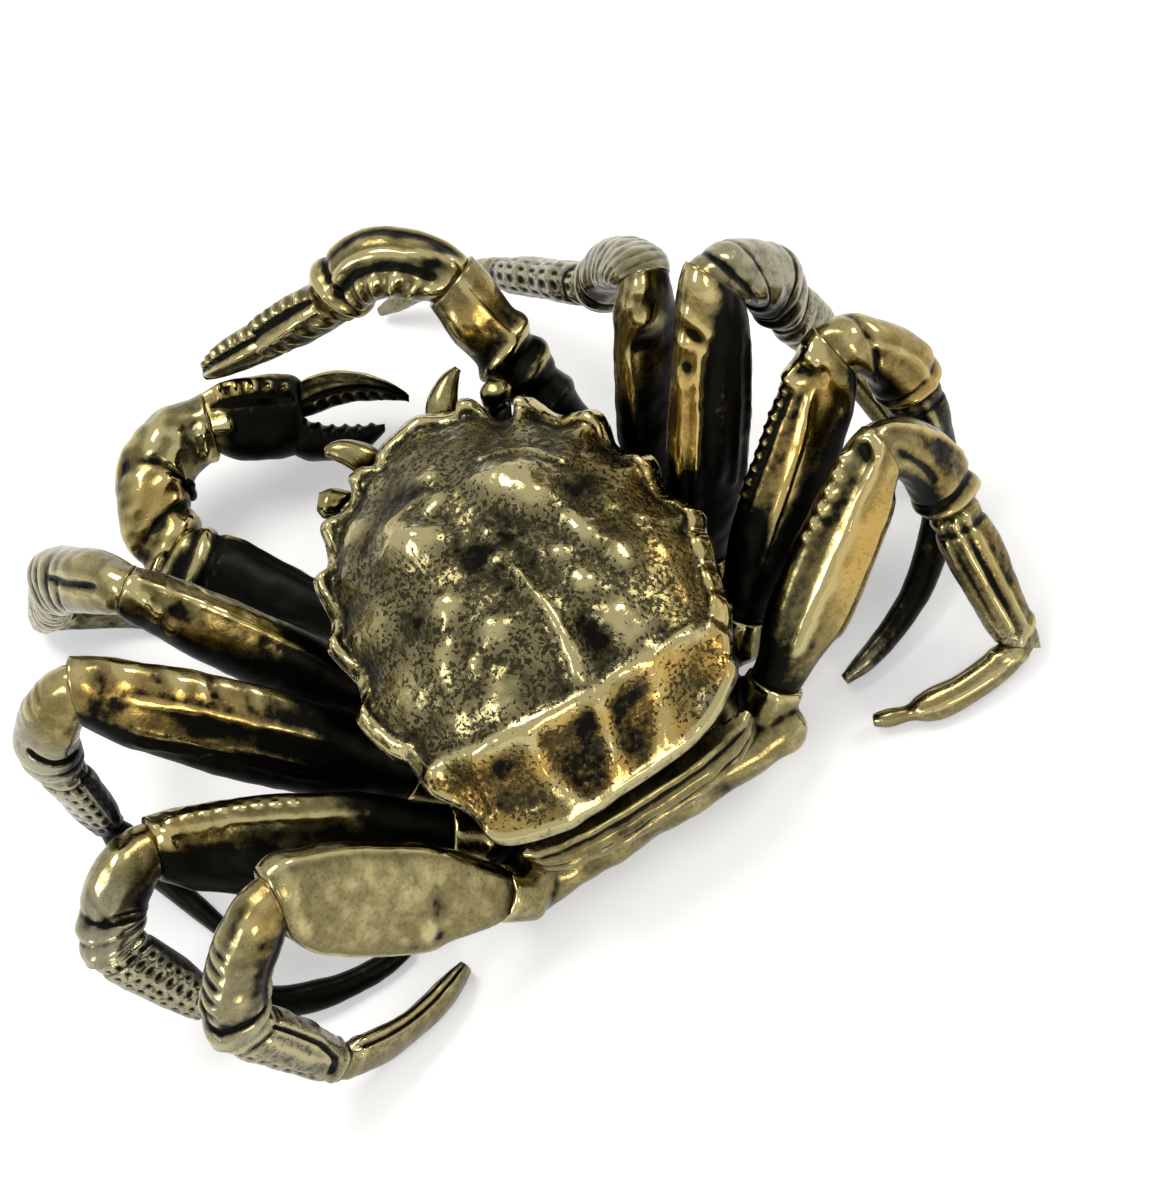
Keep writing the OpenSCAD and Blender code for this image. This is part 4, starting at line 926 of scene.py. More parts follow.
# Rounded teeth on the shell's rim: across, along, radius and height
TEETH = (
    (9.6, 0.4, 0.75, 0.5), (9.1, -3.6, 0.65, 0.42), (7.9, -7.0, 0.6, 0.45), (6.2, -9.2, 0.6, 0.42),
    (4.0, -10.5, 0.55, 0.4), (2.2, -10.9, 0.6, 0.25), (-0.2, -11.4, 0.8, 0.25), (-3.0, -10.8, 0.5, 0.35),
    (-5.3, -9.1, 0.75, 0.6), (-7.0, -7.4, 0.5, 0.3), (-7.9, -6.4, 0.85, 0.7), (-9.0, -3.1, 0.75, 0.42),
    (-9.6, 0.5, 0.75, 0.45), (-9.1, 2.1, 0.6, 0.35), (-8.6, 3.9, 0.55, 0.32), (-8.2, 5.2, 0.55, 0.32),
    (-7.4, 6.8, 0.55, 0.3), (-6.9, 8.0, 0.5, 0.28), (8.6, 3.2, 0.5, 0.25), (8.4, 5.2, 0.6, 0.35),
    (7.4, 7.0, 0.5, 0.22), (7.3, 8.5, 0.55, 0.28), (8.9, -1.4, 0.6, 0.22),
)
# Ridges of the shell: their points across and along, width and height
SHELL_RIDGES = (
    (((-2.1, -6.4), (-3.2, -6.3), (-4.4, -5.6), (-5.5, -4.3)), 0.28, 0.3),
    (((-0.7, 0.6), (-0.9, 2.2), (-0.95, 3.8), (-0.7, 5.4), (-0.5, 5.9)), 0.5, 0.62),
    (((1.2, -6.2), (2.4, -6.1), (3.6, -5.9)), 0.28, 0.2),
)
CROSS_HEIGHT, CROSS_WIDTH = 0.5, 0.5
CROSS_RIDGE = (
    (-7.4, 6.1), (-5.2, 6.6), (-3.7, 6.75), (-1.4, 7.0), (1.2, 6.9), (3.3, 6.65), (5.6, 6.05), (7.4, 5.2), (8.6, 4.5),
)
# Ribs that fall from the cross ridge to the rear edge: points, width and height
REAR_RIBS = (
    (((3.1, 6.9), (3.5, 8.2), (3.1, 9.6), (2.9, 10.2)), 0.9, 0.5),
    (((-0.7, 7.3), (0.0, 8.7), (0.3, 9.8), (0.5, 10.2)), 1.1, 0.62),
    (((-4.1, 7.0), (-3.1, 8.6), (-2.3, 9.9)), 1.5, 0.7),
    (((6.4, 6.4), (6.6, 7.6), (6.4, 9.0)), 1.0, 0.4),
    (((-6.4, 6.6), (-5.8, 7.8), (-5.4, 9.2)), 0.9, 0.35),
)
# Ribs that are rubbed bright along their whole length, counted from the first
BRIGHT_RIBS = 3
# Points round the shell, rings of its middle and of its outer part, and rounds that soften the rim's outline
SHELL_AROUND, MIDDLE_RINGS, OUTER_RINGS, SOFT_ROUNDS = 560, 90, 60, 260
# Shares of the way from the middle to the rim: first ring, where the teeth begin, where the edge turns down
FIRST_RING, TEETH_FROM, EDGE_FROM = 0.012, 0.7, 0.985
EDGE_RINGS = 9
# Rings of the underside: share of the way out, and share of the way down to the body
UNDER_RINGS = ((0.93, 0.0), (0.84, 0.5), (0.74, 1.0), (0.5, 1.0), (0.1, 1.0))
# Rolled lip at the edge and the groove inside it, in mm
LIP_HEIGHT, REAR_LIP_LOSS, GROOVE_DEPTH = 0.3, 0.18, 0.14
# Lumps of the casting: height, size, seed and number of waves
SHELL_LUMPS = ((0.06, 2.2, 5, 20), (0.03, 0.8, 6, 30), (0.014, 0.35, 7, 40))
# Rounds of smoothing that set off a size of form, and bright wear for each mm that it stands up
SHELL_WEAR = ((4, 3), (60, 1.3), (320, 1.3))


def loop_through(points, count):
    """Evenly spaced points on a smooth closed curve through the given ones."""
    p = np.array(points, float)
    n = len(p)
    t = np.linspace(0, n, 40 * n, endpoint=False)
    i = t.astype(int)
    f = (t - i)[:, None]
    a, b, c, d = (p[(i + k) % n] for k in (-1, 0, 1, 2))
    curve = b + 0.5 * f * (c - a + f * (2 * a - 5 * b + 4 * c - d + f * (3 * (b - c) + d - a)))
    step = np.linalg.norm(np.roll(curve, -1, 0) - curve, axis=1)
    run = np.concatenate(([0], np.cumsum(step)))
    curve = np.concatenate((curve, curve[:1]))
    at = np.linspace(0, run[-1], count, endpoint=False)
    return np.stack([np.interp(at, run, curve[:, k]) for k in (0, 1)], -1)


def distance_to_line(x, y, points):
    """Distance of each place to a bent line."""
    p = np.array(points, float)
    best = np.full(np.shape(x), 1e9)
    for start, stop in zip(p, p[1:]):
        d = stop - start
        t = np.clip(((x - start[0]) * d[0] + (y - start[1]) * d[1]) / (d @ d), 0, 1)
        best = np.minimum(best, np.hypot(x - start[0] - t * d[0], y - start[1] - t * d[1]))
    return best


def behind_ridge(x, y):
    cross = np.array(CROSS_RIDGE)
    order = np.argsort(cross[:, 0])
    return y - np.interp(x, cross[order, 0], cross[order, 1])


def shell_relief(x, y, sizes):
    """Height of the shell's bosses, ridges, facets and ribs at a place, in mm."""
    h = np.zeros(np.shape(x))
    for bx, by, rx, ry, height in BOSSES:
        r2 = ((x - bx) / rx) ** 2 + ((y - by) / ry) ** 2
        h = h + height * np.exp(-(r2 ** 1.25))
    for points, wide, height in SHELL_RIDGES:
        r = distance_to_line(x, y, points)
        h = h + height * np.exp(-((r / wide) ** 2))
    behind = behind_ridge(x, y)
    r = distance_to_line(x, y, CROSS_RIDGE)
    h = h + CROSS_HEIGHT * np.exp(-((r / CROSS_WIDTH) ** 2))
    facet = sizes.facet_depth / MM
    h = h - facet * smooth_step(behind, 0.1, 1.8) * (1 - smooth_step(behind, 2.0, 4.0))
    crest = np.zeros(np.shape(x))
    for points, wide, height in REAR_RIBS:
        r = distance_to_line(x, y, points)
        crest = np.maximum(crest, height * np.clip(1 - r / wide, 0, 1) ** 1.2)
    return h + crest * smooth_step(behind, -0.2, 0.6)


def rim_height(y, sizes):
    return (sizes.edge_height - sizes.edge_fall * (y + 0.9) / (sizes.length / MM)) / MM


class CrabSizes(bpy.types.PropertyGroup):
    """Sizes of the crab that can be changed"""

    length: FloatProperty(
        name="Shell Length", description="Length of the shell from front to rear", default=0.0226, unit="LENGTH"
    )
    edge_height: FloatProperty(
        name="Edge Height", description="Height of the shell's edge above the table", default=0.0114, unit="LENGTH"
    )
    edge_fall: FloatProperty(
        name="Edge Fall", description="How much lower the rear of the edge is than its front", default=0.0025,
        unit="LENGTH",
    )
    edge_thickness: FloatProperty(
        name="Edge Thickness", description="Thickness of the shell's edge", default=0.0011, unit="LENGTH"
    )
    dome_height: FloatProperty(
        name="Dome Height", description="Rise of the shell above its edge", default=0.0052, unit="LENGTH"
    )
    facet_depth: FloatProperty(
        name="Facet Depth", description="Depth of the facets behind the cross ridge", default=0.0008, unit="LENGTH"
    )
    seat_height: FloatProperty(
        name="Seat Height", description="Height of the body, where the shell sits on it", default=0.008, unit="LENGTH"
    )
    upper_thickness: FloatProperty(
        name="Upper Thickness", description="Thickness of the upper leg pieces", default=0.0023, unit="LENGTH"
    )
    knee_width: FloatProperty(
        name="Knee Width", description="Width of the knee pieces", default=0.0032, unit="LENGTH"
    )
    knee_thickness: FloatProperty(
        name="Knee Thickness", description="Thickness of the knee pieces", default=0.0027, unit="LENGTH"
    )
    knee_bow: FloatProperty(name="Knee Bow", description="Bulge of the knee pieces", default=0.0009, unit="LENGTH")
    shin_width: FloatProperty(name="Shin Width", description="Width of the shins", default=0.0029, unit="LENGTH")
    shin_thickness: FloatProperty(
        name="Shin Thickness", description="Thickness of the shins", default=0.0021, unit="LENGTH"
    )
    toe_thickness: FloatProperty(
        name="Toe Thickness", description="Thickness of the toes", default=0.0015, unit="LENGTH"
    )
    arm_width: FloatProperty(name="Arm Width", description="Width of the claw arms", default=0.0039, unit="LENGTH")
    palm_width: FloatProperty(name="Palm Width", description="Width of the palms", default=0.0043, unit="LENGTH")
    palm_thickness: FloatProperty(
        name="Palm Thickness", description="Thickness of the palms", default=0.0027, unit="LENGTH"
    )
    finger_width: FloatProperty(
        name="Finger Width", description="Width of the claw fingers", default=0.002, unit="LENGTH"
    )


class CrabFinish(bpy.types.PropertyGroup):
    """Colours of the crab's brass and of the stage"""

    # Its mix also paints light on what faces up and highlights along some raised lines
    polished: FloatVectorProperty(
        name="Polished Brass", description="High points rubbed bright", size=4, min=0, max=1, subtype="COLOR",
        default=(0.42, 0.36, 0.17, 1),
    )
    olive: FloatVectorProperty(
        name="Olive Brass", description="Brass between the high points and the hollows", size=4, min=0, max=1,
        subtype="COLOR", default=(0.165, 0.138, 0.058, 1),
    )
    # This colour also paints shade under the shell, on what faces down and where other metal closes in
    patina_and_shade: FloatVectorProperty(
        name="Patina_And_Shade", description="Dark patina in the hollows", size=4, min=0, max=1, subtype="COLOR",
        default=(0.006, 0.006, 0.0045, 1),
    )
    # On the shell's rear and the rear facet of the right hind leg this colour paints the golden light reflected there
    warm: FloatVectorProperty(
        name="Warm Brass", description="Golden patches of ridges and rear facets", size=4, min=0, max=1,
        subtype="COLOR", default=(0.42, 0.275, 0.075, 1),
    )
    silver: FloatVectorProperty(
        name="Pale Brass", description="Pale grey-green brass of the outer leg pieces", size=4, min=0, max=1,
        subtype="COLOR", default=(0.31, 0.295, 0.215, 1),
    )
    floor: FloatVectorProperty(
        name="Floor", description="Colour of the floor", size=4, min=0, max=1, subtype="COLOR",
        default=(0.9, 0.9, 0.9, 1),
    )
    camera_distance: FloatProperty(
        name="Camera Distance", description="Distance of the camera from the crab", default=0.23, unit="LENGTH"
    )


# ---- Finishes ----


def node(tree, kind, place, **values):
    made = tree.nodes.new(kind)
    made.location = place
    for k, v in values.items():
        setattr(made, k, v)
    return made


def math_node(tree, place, operation, a, b=None, clamp=False):
    made = node(tree, "ShaderNodeMath", place, operation=operation, use_clamp=clamp)
    for socket, value in zip(made.inputs, (a, b)):
        if value is None:
            continue
        if isinstance(value, (int, float)):
            socket.default_value = value
        else:
            tree.links.new(value, socket)
    return made.outputs[0]


def set_inputs(made, **values):
    """Set unlinked inputs of a node, their names written in small letters with underscores."""
    for label, value in values.items():
        made.inputs[label.replace("_", " ").title()].default_value = value


def ramp(tree, place, value, low, high):
    made = node(tree, "ShaderNodeMapRange", place, interpolation_type="SMOOTHSTEP")
    tree.links.new(value, made.inputs["Value"])
    set_inputs(made, from_min=low, from_max=high)
    return made.outputs["Result"]


def mix_colour(tree, place, factor, a, b):
    made = node(tree, "ShaderNodeMix", place, data_type="RGBA")
    for socket, value in ((made.inputs[0], factor), (made.inputs[6], a), (made.inputs[7], b)):
        tree.links.new(value, socket)
    return made.outputs[2]


def noise(tree, place, coords, scale, detail, rough):
    made = node(tree, "ShaderNodeTexNoise", place)
    tree.links.new(coords, made.inputs["Vector"])
    set_inputs(made, scale=scale, detail=detail, roughness=rough)
    return made.outputs["Fac"]


def seen_rays(tree, y):
    """1 for what the camera sees straight, mirrored or through glass, and 0 for light that falls on things."""
    path = node(tree, "ShaderNodeLightPath", (-600, y)).outputs
    seen = math_node(tree, (-450, y), "MAXIMUM", path["Is Camera Ray"], path["Is Glossy Ray"])
    return math_node(tree, (-300, y), "MAXIMUM", seen, path["Is Transmission Ray"])


def cast_brass_group():
    """Antique brass: bright where rubbed, dark patina in hollows and pits, with a cast grain; the wear and patina it
    is given also carry painted light and painted shade.
    """
    group = bpy.data.node_groups.new("Cast Brass", "ShaderNodeTree")
    face = group.interface
    for name, kind, default in (
        ("Wear", "NodeSocketFloat", 0.5),
        ("Patina_And_Shade", "NodeSocketFloat", 0.0),
        ("Tone", "NodeSocketFloat", 0.0),
        ("Polished", "NodeSocketColor", (0.8, 0.6, 0.3, 1)),
        ("Olive", "NodeSocketColor", (0.3, 0.3, 0.15, 1)),
        ("Dark", "NodeSocketColor", (0.02, 0.02, 0.01, 1)),
        ("Warm", "NodeSocketColor", (0.6, 0.3, 0.1, 1)),
        ("Silver", "NodeSocketColor", (0.5, 0.5, 0.4, 1)),
        ("Pits", "NodeSocketFloat", 0.5),
    ):
        face.new_socket(name=name, in_out="INPUT", socket_type=kind).default_value = default
    for name, kind in (("Color", "NodeSocketColor"), ("Roughness", "NodeSocketFloat"), ("Height", "NodeSocketFloat")):
        face.new_socket(name=name, in_out="OUTPUT", socket_type=kind)
    inp = node(group, "NodeGroupInput", (-1600, 0)).outputs
    out = node(group, "NodeGroupOutput", (1100, 0)).inputs

    def calc(place, operation, a, b=None, c=None, clamp=False):
        made = math_node(group, place, operation, a, b, clamp)
        if c is not None:
            group.nodes[-1].inputs[2].default_value = c
        return made

    coords = node(group, "ShaderNodeTexCoord", (-1600, -500)).outputs["Object"]
    grain = calc((-1150, -400), "SUBTRACT", noise(group, (-1350, -400), coords, 2400, 4, 0.6), 0.5)
    patch = calc((-1150, -600), "SUBTRACT", noise(group, (-1350, -600), coords, 380, 3, 0.5), 0.5)
    cell = noise(group, (-1350, -800), coords, 4300, 2, 0.55)
    # Pits: small dark specks, closer together where the surface is sunk
    sunk = calc((-1350, -950), "SUBTRACT", 0.62, inp["Wear"])
    cell = calc((-1150, -900), "SUBTRACT", cell, calc((-1250, -1000), "MULTIPLY", sunk, 0.24))
    speck = calc((-700, -700), "MULTIPLY", ramp(group, (-900, -700), cell, 0.45, 0.37), inp["Pits"])
    # Patina and painted shade: where the surface is sunk or stained, and where the patina input paints shade
    dark = calc((-900, 0), "MULTIPLY_ADD", sunk, 0.9, 0.0)
    dark = calc((-700, 0), "ADD", dark, inp["Patina_And_Shade"])
    dark = calc((-520, 0), "ADD", dark, calc((-700, -150), "MULTIPLY", grain, 0.7))
    dark = calc((-340, 0), "ADD", dark, calc((-520, -150), "MULTIPLY", patch, 0.4))
    dark = ramp(group, (-160, 0), dark, 0.16, 0.74)
    dark = calc((20, 0), "MAXIMUM", dark, speck, clamp=True)
    # Colour: olive where dull and polished where worn or painted lit, then warm or silvery by tone, then the patina
    # and painted shade over it
    shine = calc((-520, 300), "SUBTRACT", inp["Wear"], calc((-700, 300), "MULTIPLY", inp["Patina_And_Shade"], 0.5))
    shine = calc((-340, 300), "SUBTRACT", shine, calc((-520, 180), "MULTIPLY", grain, 0.4))
    shine = ramp(group, (-160, 300), shine, 0.45, 0.9)
    plain = mix_colour(group, (100, 300), shine, inp["Olive"], inp["Polished"])
    warm = calc((100, 500), "MULTIPLY", inp["Tone"], -1.0, clamp=True)
    plain = mix_colour(group, (300, 400), warm, plain, inp["Warm"])
    cool = calc((100, 650), "MULTIPLY", inp["Tone"], 1.0, clamp=True)
    plain = mix_colour(group, (500, 300), cool, plain, inp["Silver"])
    colour = mix_colour(group, (700, 200), dark, plain, inp["Dark"])
    rough = calc((300, -200), "MULTIPLY_ADD", dark, 0.2, 0.19)
    rough = calc((500, -200), "ADD", rough, calc((300, -350), "MULTIPLY", grain, 0.25))
    rough = calc((700, -200), "SUBTRACT", rough, calc((500, -350), "MULTIPLY", shine, 0.07))
    height = calc((300, -500), "MULTIPLY", speck, -1.0)
    height = calc((500, -500), "ADD", height, calc((300, -650), "MULTIPLY", grain, 0.7))
    group.links.new(colour, out["Color"])
    group.links.new(rough, out["Roughness"])
    group.links.new(height, out["Height"])
    return group


def brass_material(name, group, finish, pits, bump, grain_depth):
    material = bpy.data.materials.new(name)
    material.use_nodes = True
    tree = material.node_tree
    shader = tree.nodes["Principled BSDF"]
    set_inputs(shader, metallic=1.0)
    brass = node(tree, "ShaderNodeGroup", (-400, 200), node_tree=group)
    for k, label in enumerate(("wear", "patina_and_shade", "tone")):
        read = node(tree, "ShaderNodeAttribute", (-700, 300 - 180 * k), attribute_name=label)
        tree.links.new(read.outputs["Fac"], brass.inputs[label.title()])
    set_inputs(
        brass, polished=finish.polished, olive=finish.olive, dark=finish.patina_and_shade, warm=finish.warm,
        silver=finish.silver, pits=pits,
    )
    relief = node(tree, "ShaderNodeBump", (-150, -100))
    set_inputs(relief, strength=bump, distance=grain_depth)
    tree.links.new(brass.outputs["Height"], relief.inputs["Height"])
    tree.links.new(brass.outputs["Color"], shader.inputs["Base Color"])
    tree.links.new(brass.outputs["Roughness"], shader.inputs["Roughness"])
    tree.links.new(relief.outputs["Normal"], shader.inputs["Normal"])


# Finishes: slot, strength of the pits, strength of the grain and its depth in metres
FINISHES = (
    ("shell_brass", 0.85, 0.9, 0.00005),
    ("polished_brass", 0.25, 0.5, 0.00002),
    ("dark_brass", 0.3, 0.5, 0.00002),
    ("pale_brass", 0.6, 0.6, 0.00003),
)


class OBJECT_OT_crab_finishes(bpy.types.Operator):
    """Make the brass finishes"""

    bl_idname = "crab.finishes"
    bl_label = "Brass Finishes"

    def execute(self, context):
        group = cast_brass_group()
        for slot, pits, bump, grain_depth in FINISHES:
            brass_material("cast_" + slot, group, context.scene.crab_finish, pits, bump, grain_depth)
        return {"FINISHED"}


def shell_rings(sizes):
    """Rings of the shell from its middle over the edge to its underside, and how far out each top one is."""
    rim = loop_through(RIM, SHELL_AROUND)
    soft = rim.copy()
    for _ in range(SOFT_ROUNDS):
        soft = (np.roll(soft, 1, 0) + soft + np.roll(soft, -1, 0)) / 3
    reach = np.linalg.norm(rim - SHELL_MIDDLE, axis=1) - np.linalg.norm(soft - SHELL_MIDDLE, axis=1)
    # The lip is higher on the teeth, which reach out past the soft outline, and lower between them
    lobe = 1 + 0.7 * np.clip(3 * reach, -0.6, 1)
    thick = sizes.edge_thickness / MM
    middle_shares = np.linspace(FIRST_RING, TEETH_FROM, MIDDLE_RINGS)
    shares = np.concatenate((middle_shares, np.linspace(TEETH_FROM, EDGE_FROM, OUTER_RINGS)[1:]))
    rings = []
    for f in shares:
        edge = soft + (rim - soft) * smooth_step(f, TEETH_FROM, 1.0)
        p = SHELL_MIDDLE + (edge - SHELL_MIDDLE) * f
        x, y = p.T
        rise = (sizes.dome_height / MM) * (1 - f**2.5)
        fade = 1 - smooth_step(f, 0.88, EDGE_FROM)
        rear = smooth_step(y, 6.0, 8.5)
        roll = np.clip((f - 0.905 - 0.045 * rear) / 0.095, 0, 1)
        lip = (LIP_HEIGHT - REAR_LIP_LOSS * rear) * lobe * np.sin(math.pi * 0.8 * roll)
        lip = lip - GROOVE_DEPTH * (1 - rear) * np.exp(-(((f - 0.89) / 0.03) ** 2))
        teeth = sum(h * np.exp(-(((x - a) ** 2 + (y - b) ** 2) / r**2) ** 1.2) for a, b, r, h in TEETH)
        z = rim_height(y, sizes) + rise + shell_relief(x, y, sizes) * fade + lip + teeth
        rings.append(np.column_stack((x, y, z - 0.25 * np.clip(-reach, 0, 1) * smooth_step(f, 0.85, 1.0))))
    top = rings[-1][:, 2]
    for turn in np.linspace(0, math.pi, EDGE_RINGS)[1:]:
        f = EDGE_FROM + (1 - EDGE_FROM) * math.sin(turn)
        p = SHELL_MIDDLE + (rim - SHELL_MIDDLE) * f
        rings.append(np.column_stack((p, top - thick / 2 * (1 - math.cos(turn)))))
    for f, drop in UNDER_RINGS:
        p = SHELL_MIDDLE + (soft - SHELL_MIDDLE) * f
        low = rim_height(p[:, 1], sizes) - 1.6 * thick
        rings.append(np.column_stack((p, low + (sizes.seat_height / MM - low) * drop)))
    return np.array(rings), shares


def shell_finish(p, n, shares):
    """Wear, patina and tone of the shell's points: bright high places, warm rear facets and ribs that paint the
    golden light they reflect, stained facets and hollows, and painted shade underneath and where other metal closes
    in.
    """
    top_rings = len(shares)
    wear = np.full(p.shape[:2], 0.32)
    for rounds, weight in SHELL_WEAR:
        wear = wear + weight * raised(p, n, rounds)
    x, y = p[..., 0], p[..., 1]
    f = np.concatenate((shares, np.ones(len(p) - top_rings)))[:, None]
    wear = wear + 0.14 * smooth_step(f, 0.91, 0.96) * (1 - smooth_step(y, 6.5, 8.0))
    behind = behind_ridge(x, y)
    hollow = smooth_step(behind, 0.2, 0.8)
    crest = np.zeros(x.shape)
    for points, wide, _ in REAR_RIBS[:BRIGHT_RIBS]:
        r = distance_to_line(x, y, points)
        crest = np.maximum(crest, np.exp(-((r / (wide * 0.33)) ** 2)))
    # The facets between the ribs are evenly dull, the middle ones darkest, and the ribs are bright
    middle_facets = smooth_step(x, -3.8, -3.0) * (1 - smooth_step(x, 2.6, 3.3))
    facets = hollow * (1 - crest) * (1 - smooth_step(f, 0.968, 0.984))
    even = 0.34 + 0.14 * waves(p, 0.9, 12, 20) - 0.17 * middle_facets
    wear = wear + (even - wear) * 0.85 * facets + 0.3 * hollow * crest
    # Facets are stained, and what faces down gets painted shade
    patina_and_shade = 0.05 + 0.14 * facets + 0.5 * smooth_step(-n[..., 2], 0.2, 0.8)
    patina_and_shade = patina_and_shade + 0.25 * np.clip(waves(p, 1.6, 8, 20), 0, 1) * (f < 0.9)
    # The turned edge is darkened, and the underside is painted black as shade under the shell
    patina_and_shade[top_rings + 2 : top_rings + 5] += 0.5
    patina_and_shade[top_rings + 5 :] = 1.0
    # Patina and painted shade where other metal closes in, fully so under the edge
    shut = np.clip(closed_grid(p, n, 24, 28) - OPEN_SHARE, 0, 1)
    patina_and_shade = patina_and_shade + 1.2 * shut * (1 - 0.75 * (f < 0.97))
    # Warm tone behind the cross ridge paints the golden light that the rear facets and ribs reflect, and the right
    # side is warmer
    warm = smooth_step(behind, -0.1, 0.5) * smooth_step(-f, -0.99, -0.95)
    tone = (-warm - 0.5 * smooth_step(-x, 4.5, 8)) * (0.7 + 0.5 * waves(p, 1.3, 9, 20)) + 0.1
    return np.clip(wear, 0, 1), np.clip(patina_and_shade, 0, 1), np.clip(tone, -1, 1)


class OBJECT_OT_crab_shell(bpy.types.Operator):
    """Build the toothed, knobbed back shell"""

    bl_idname = "crab.shell"
    bl_label = "Shell"

    def execute(self, context):
        p, shares = shell_rings(context.scene.crab_sizes)
        n = grid_normals(p)
        if n[: len(shares) // 2, :, 2].mean() < 0:
            n = -n
        bump = sum(height * waves(p, *values) for height, *values in SHELL_LUMPS)
        bump[len(shares) + 4 :] = 0
        p = p + n * bump[..., None]
        wear, patina_and_shade, tone = shell_finish(p, n, shares)
        add_piece("carapace_skin", p[::-1], "carapace", "shell_brass", wear[::-1], patina_and_shade[::-1], tone[::-1])
        return {"FINISHED"}


# ---- Body, rear bands and face ----

# Castings made from the solids: node, cell of the remeshing, rounds of softening, height of lumps, slot
CASTINGS = (
    ("body", 0.16, 6, 0.1, "dark_brass"),
    ("tail", 0.09, 2, 0.07, "polished_brass"),
    ("face", 0.12, 4, 0.1, "dark_brass"),
)
# Height under which the belly stays flat, and the middle that the lumps stand out from
BELLY_Z, CASTING_MIDDLE = 0.35, np.array((0, 0, 4.0))
CREVICE_ROUNDS = 8


class OBJECT_OT_crab_body(bpy.types.Operator):
    """Build the body, its rear bands and the face from their solids, rounded as a casting"""

    bl_idname = "crab.body"
    bl_label = "Body, Rear Bands and Face"

    def execute(self, context):
        for node_name, cell, rounds, lump, slot in CASTINGS:
            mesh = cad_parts[node_name].data.copy()
            mesh.materials.clear()
            piece = place_piece(node_name + "_skin", mesh, node_name, slot)
            round_casting(piece, cell * MM, rounds, lump)
        return {"FINISHED"}


def read_points(mesh, label):
    values = np.empty(len(mesh.vertices) * 3)
    mesh.vertices.foreach_get(label, values)
    return values.reshape(-1, 3)


def round_casting(piece, cell, rounds, lump):
    """Remesh a piece finely, soften its corners and give it the uneven skin of a casting."""
    remesh = piece.modifiers.new("Remesh", "REMESH")
    remesh.mode = "VOXEL"
    remesh.voxel_size = cell
    mesh = bpy.data.meshes.new_from_object(piece.evaluated_get(bpy.context.evaluated_depsgraph_get()))
    piece.modifiers.clear()
    mesh.materials.clear()
    mesh.materials.append(piece.data.materials[0])
    piece.data = mesh
    p = read_points(mesh, "co") / MM
    edges = np.empty(len(mesh.edges) * 2, int)
    mesh.edges.foreach_get("vertices", edges)
    a, b = edges.reshape(-1, 2).T
    degree = np.bincount(edges, minlength=len(p))[:, None]

    def average(v):
        total = np.zeros_like(v)
        np.add.at(total, a, v[b])
        np.add.at(total, b, v[a])
        return total / degree

    for _ in range(rounds):
        p = p + 0.5 * (average(p) - p)
    above = p[:, 2] >= BELLY_Z
    rear = smooth_step(p[:, 1], 6.5, 8.0)
    lumps = lump * waves(p, 1.3, 31) + 0.03 * waves(p, 0.7, 32) * rear
    p = p + lumps[:, None] * unit(p - CASTING_MIDDLE) * above[:, None]
    p[:, 2] = np.maximum(p[:, 2], 0.0)
    mesh.vertices.foreach_set("co", (p * MM).ravel())
    mesh.update()
    n = read_points(mesh, "normal")
    q = p
    for _ in range(CREVICE_ROUNDS):
        q = average(q)
    stands = ((p - q) * n).sum(-1)
    rear = smooth_step(p[:, 1], 7.6, 9.4)
    wear = np.clip(0.42 + 0.06 * rear + stands * 5, 0, 1)
    # Painted shade: black under the shell, and darker where the surface faces down; the rear stays clear of that
    shell_shade_on_body = 1 - smooth_step(np.hypot(p[:, 0], p[:, 1] * 0.95), 8.0, 9.2)
    shell_shade_on_body = shell_shade_on_body * (1 - smooth_step(p[:, 1], 6.5, 8.0))
    patina_and_shade = (0.9 * shell_shade_on_body + 0.35 * smooth_step(-n[:, 2], -0.2, 0.6)) * (1 - rear) + 0.06
    patina_and_shade = patina_and_shade + 0.3 * np.clip(waves(p, 1.1, 41), 0, 1) + 1.6 * np.clip(-stands * 9, 0, 1)
    stored_finish(mesh, wear, np.clip(patina_and_shade, 0, 1), np.zeros(len(p)))


class OBJECT_OT_crab_legs(bpy.types.Operator):
    """Build the eight legs, each of four pieces"""

    bl_idname = "crab.legs"
    bl_label = "Legs"

    def execute(self, context):
        sizes = context.scene.crab_sizes
        thicks = [
            v / MM for v in (sizes.upper_thickness, sizes.knee_thickness, sizes.shin_thickness, sizes.toe_thickness)
        ]
        for side, side_name in SIDES:
            for i in range(4):
                widths = (UPPER_WIDTH[side][i], sizes.knee_width / MM, sizes.shin_width / MM, TOE_WIDTH[side][i])
                pieces = zip(LEG_PARTS, leg_ends(side, i, sizes), widths, thicks)
                for (part, slot), (ends, face), width, thick in pieces:
                    name = f"{side_name}_leg_{i + 1}_{part}"
                    limb_piece(name + "_skin", slot, ends, face, width, thick, look_of(name), side, seed_of(name))
        return {"FINISHED"}


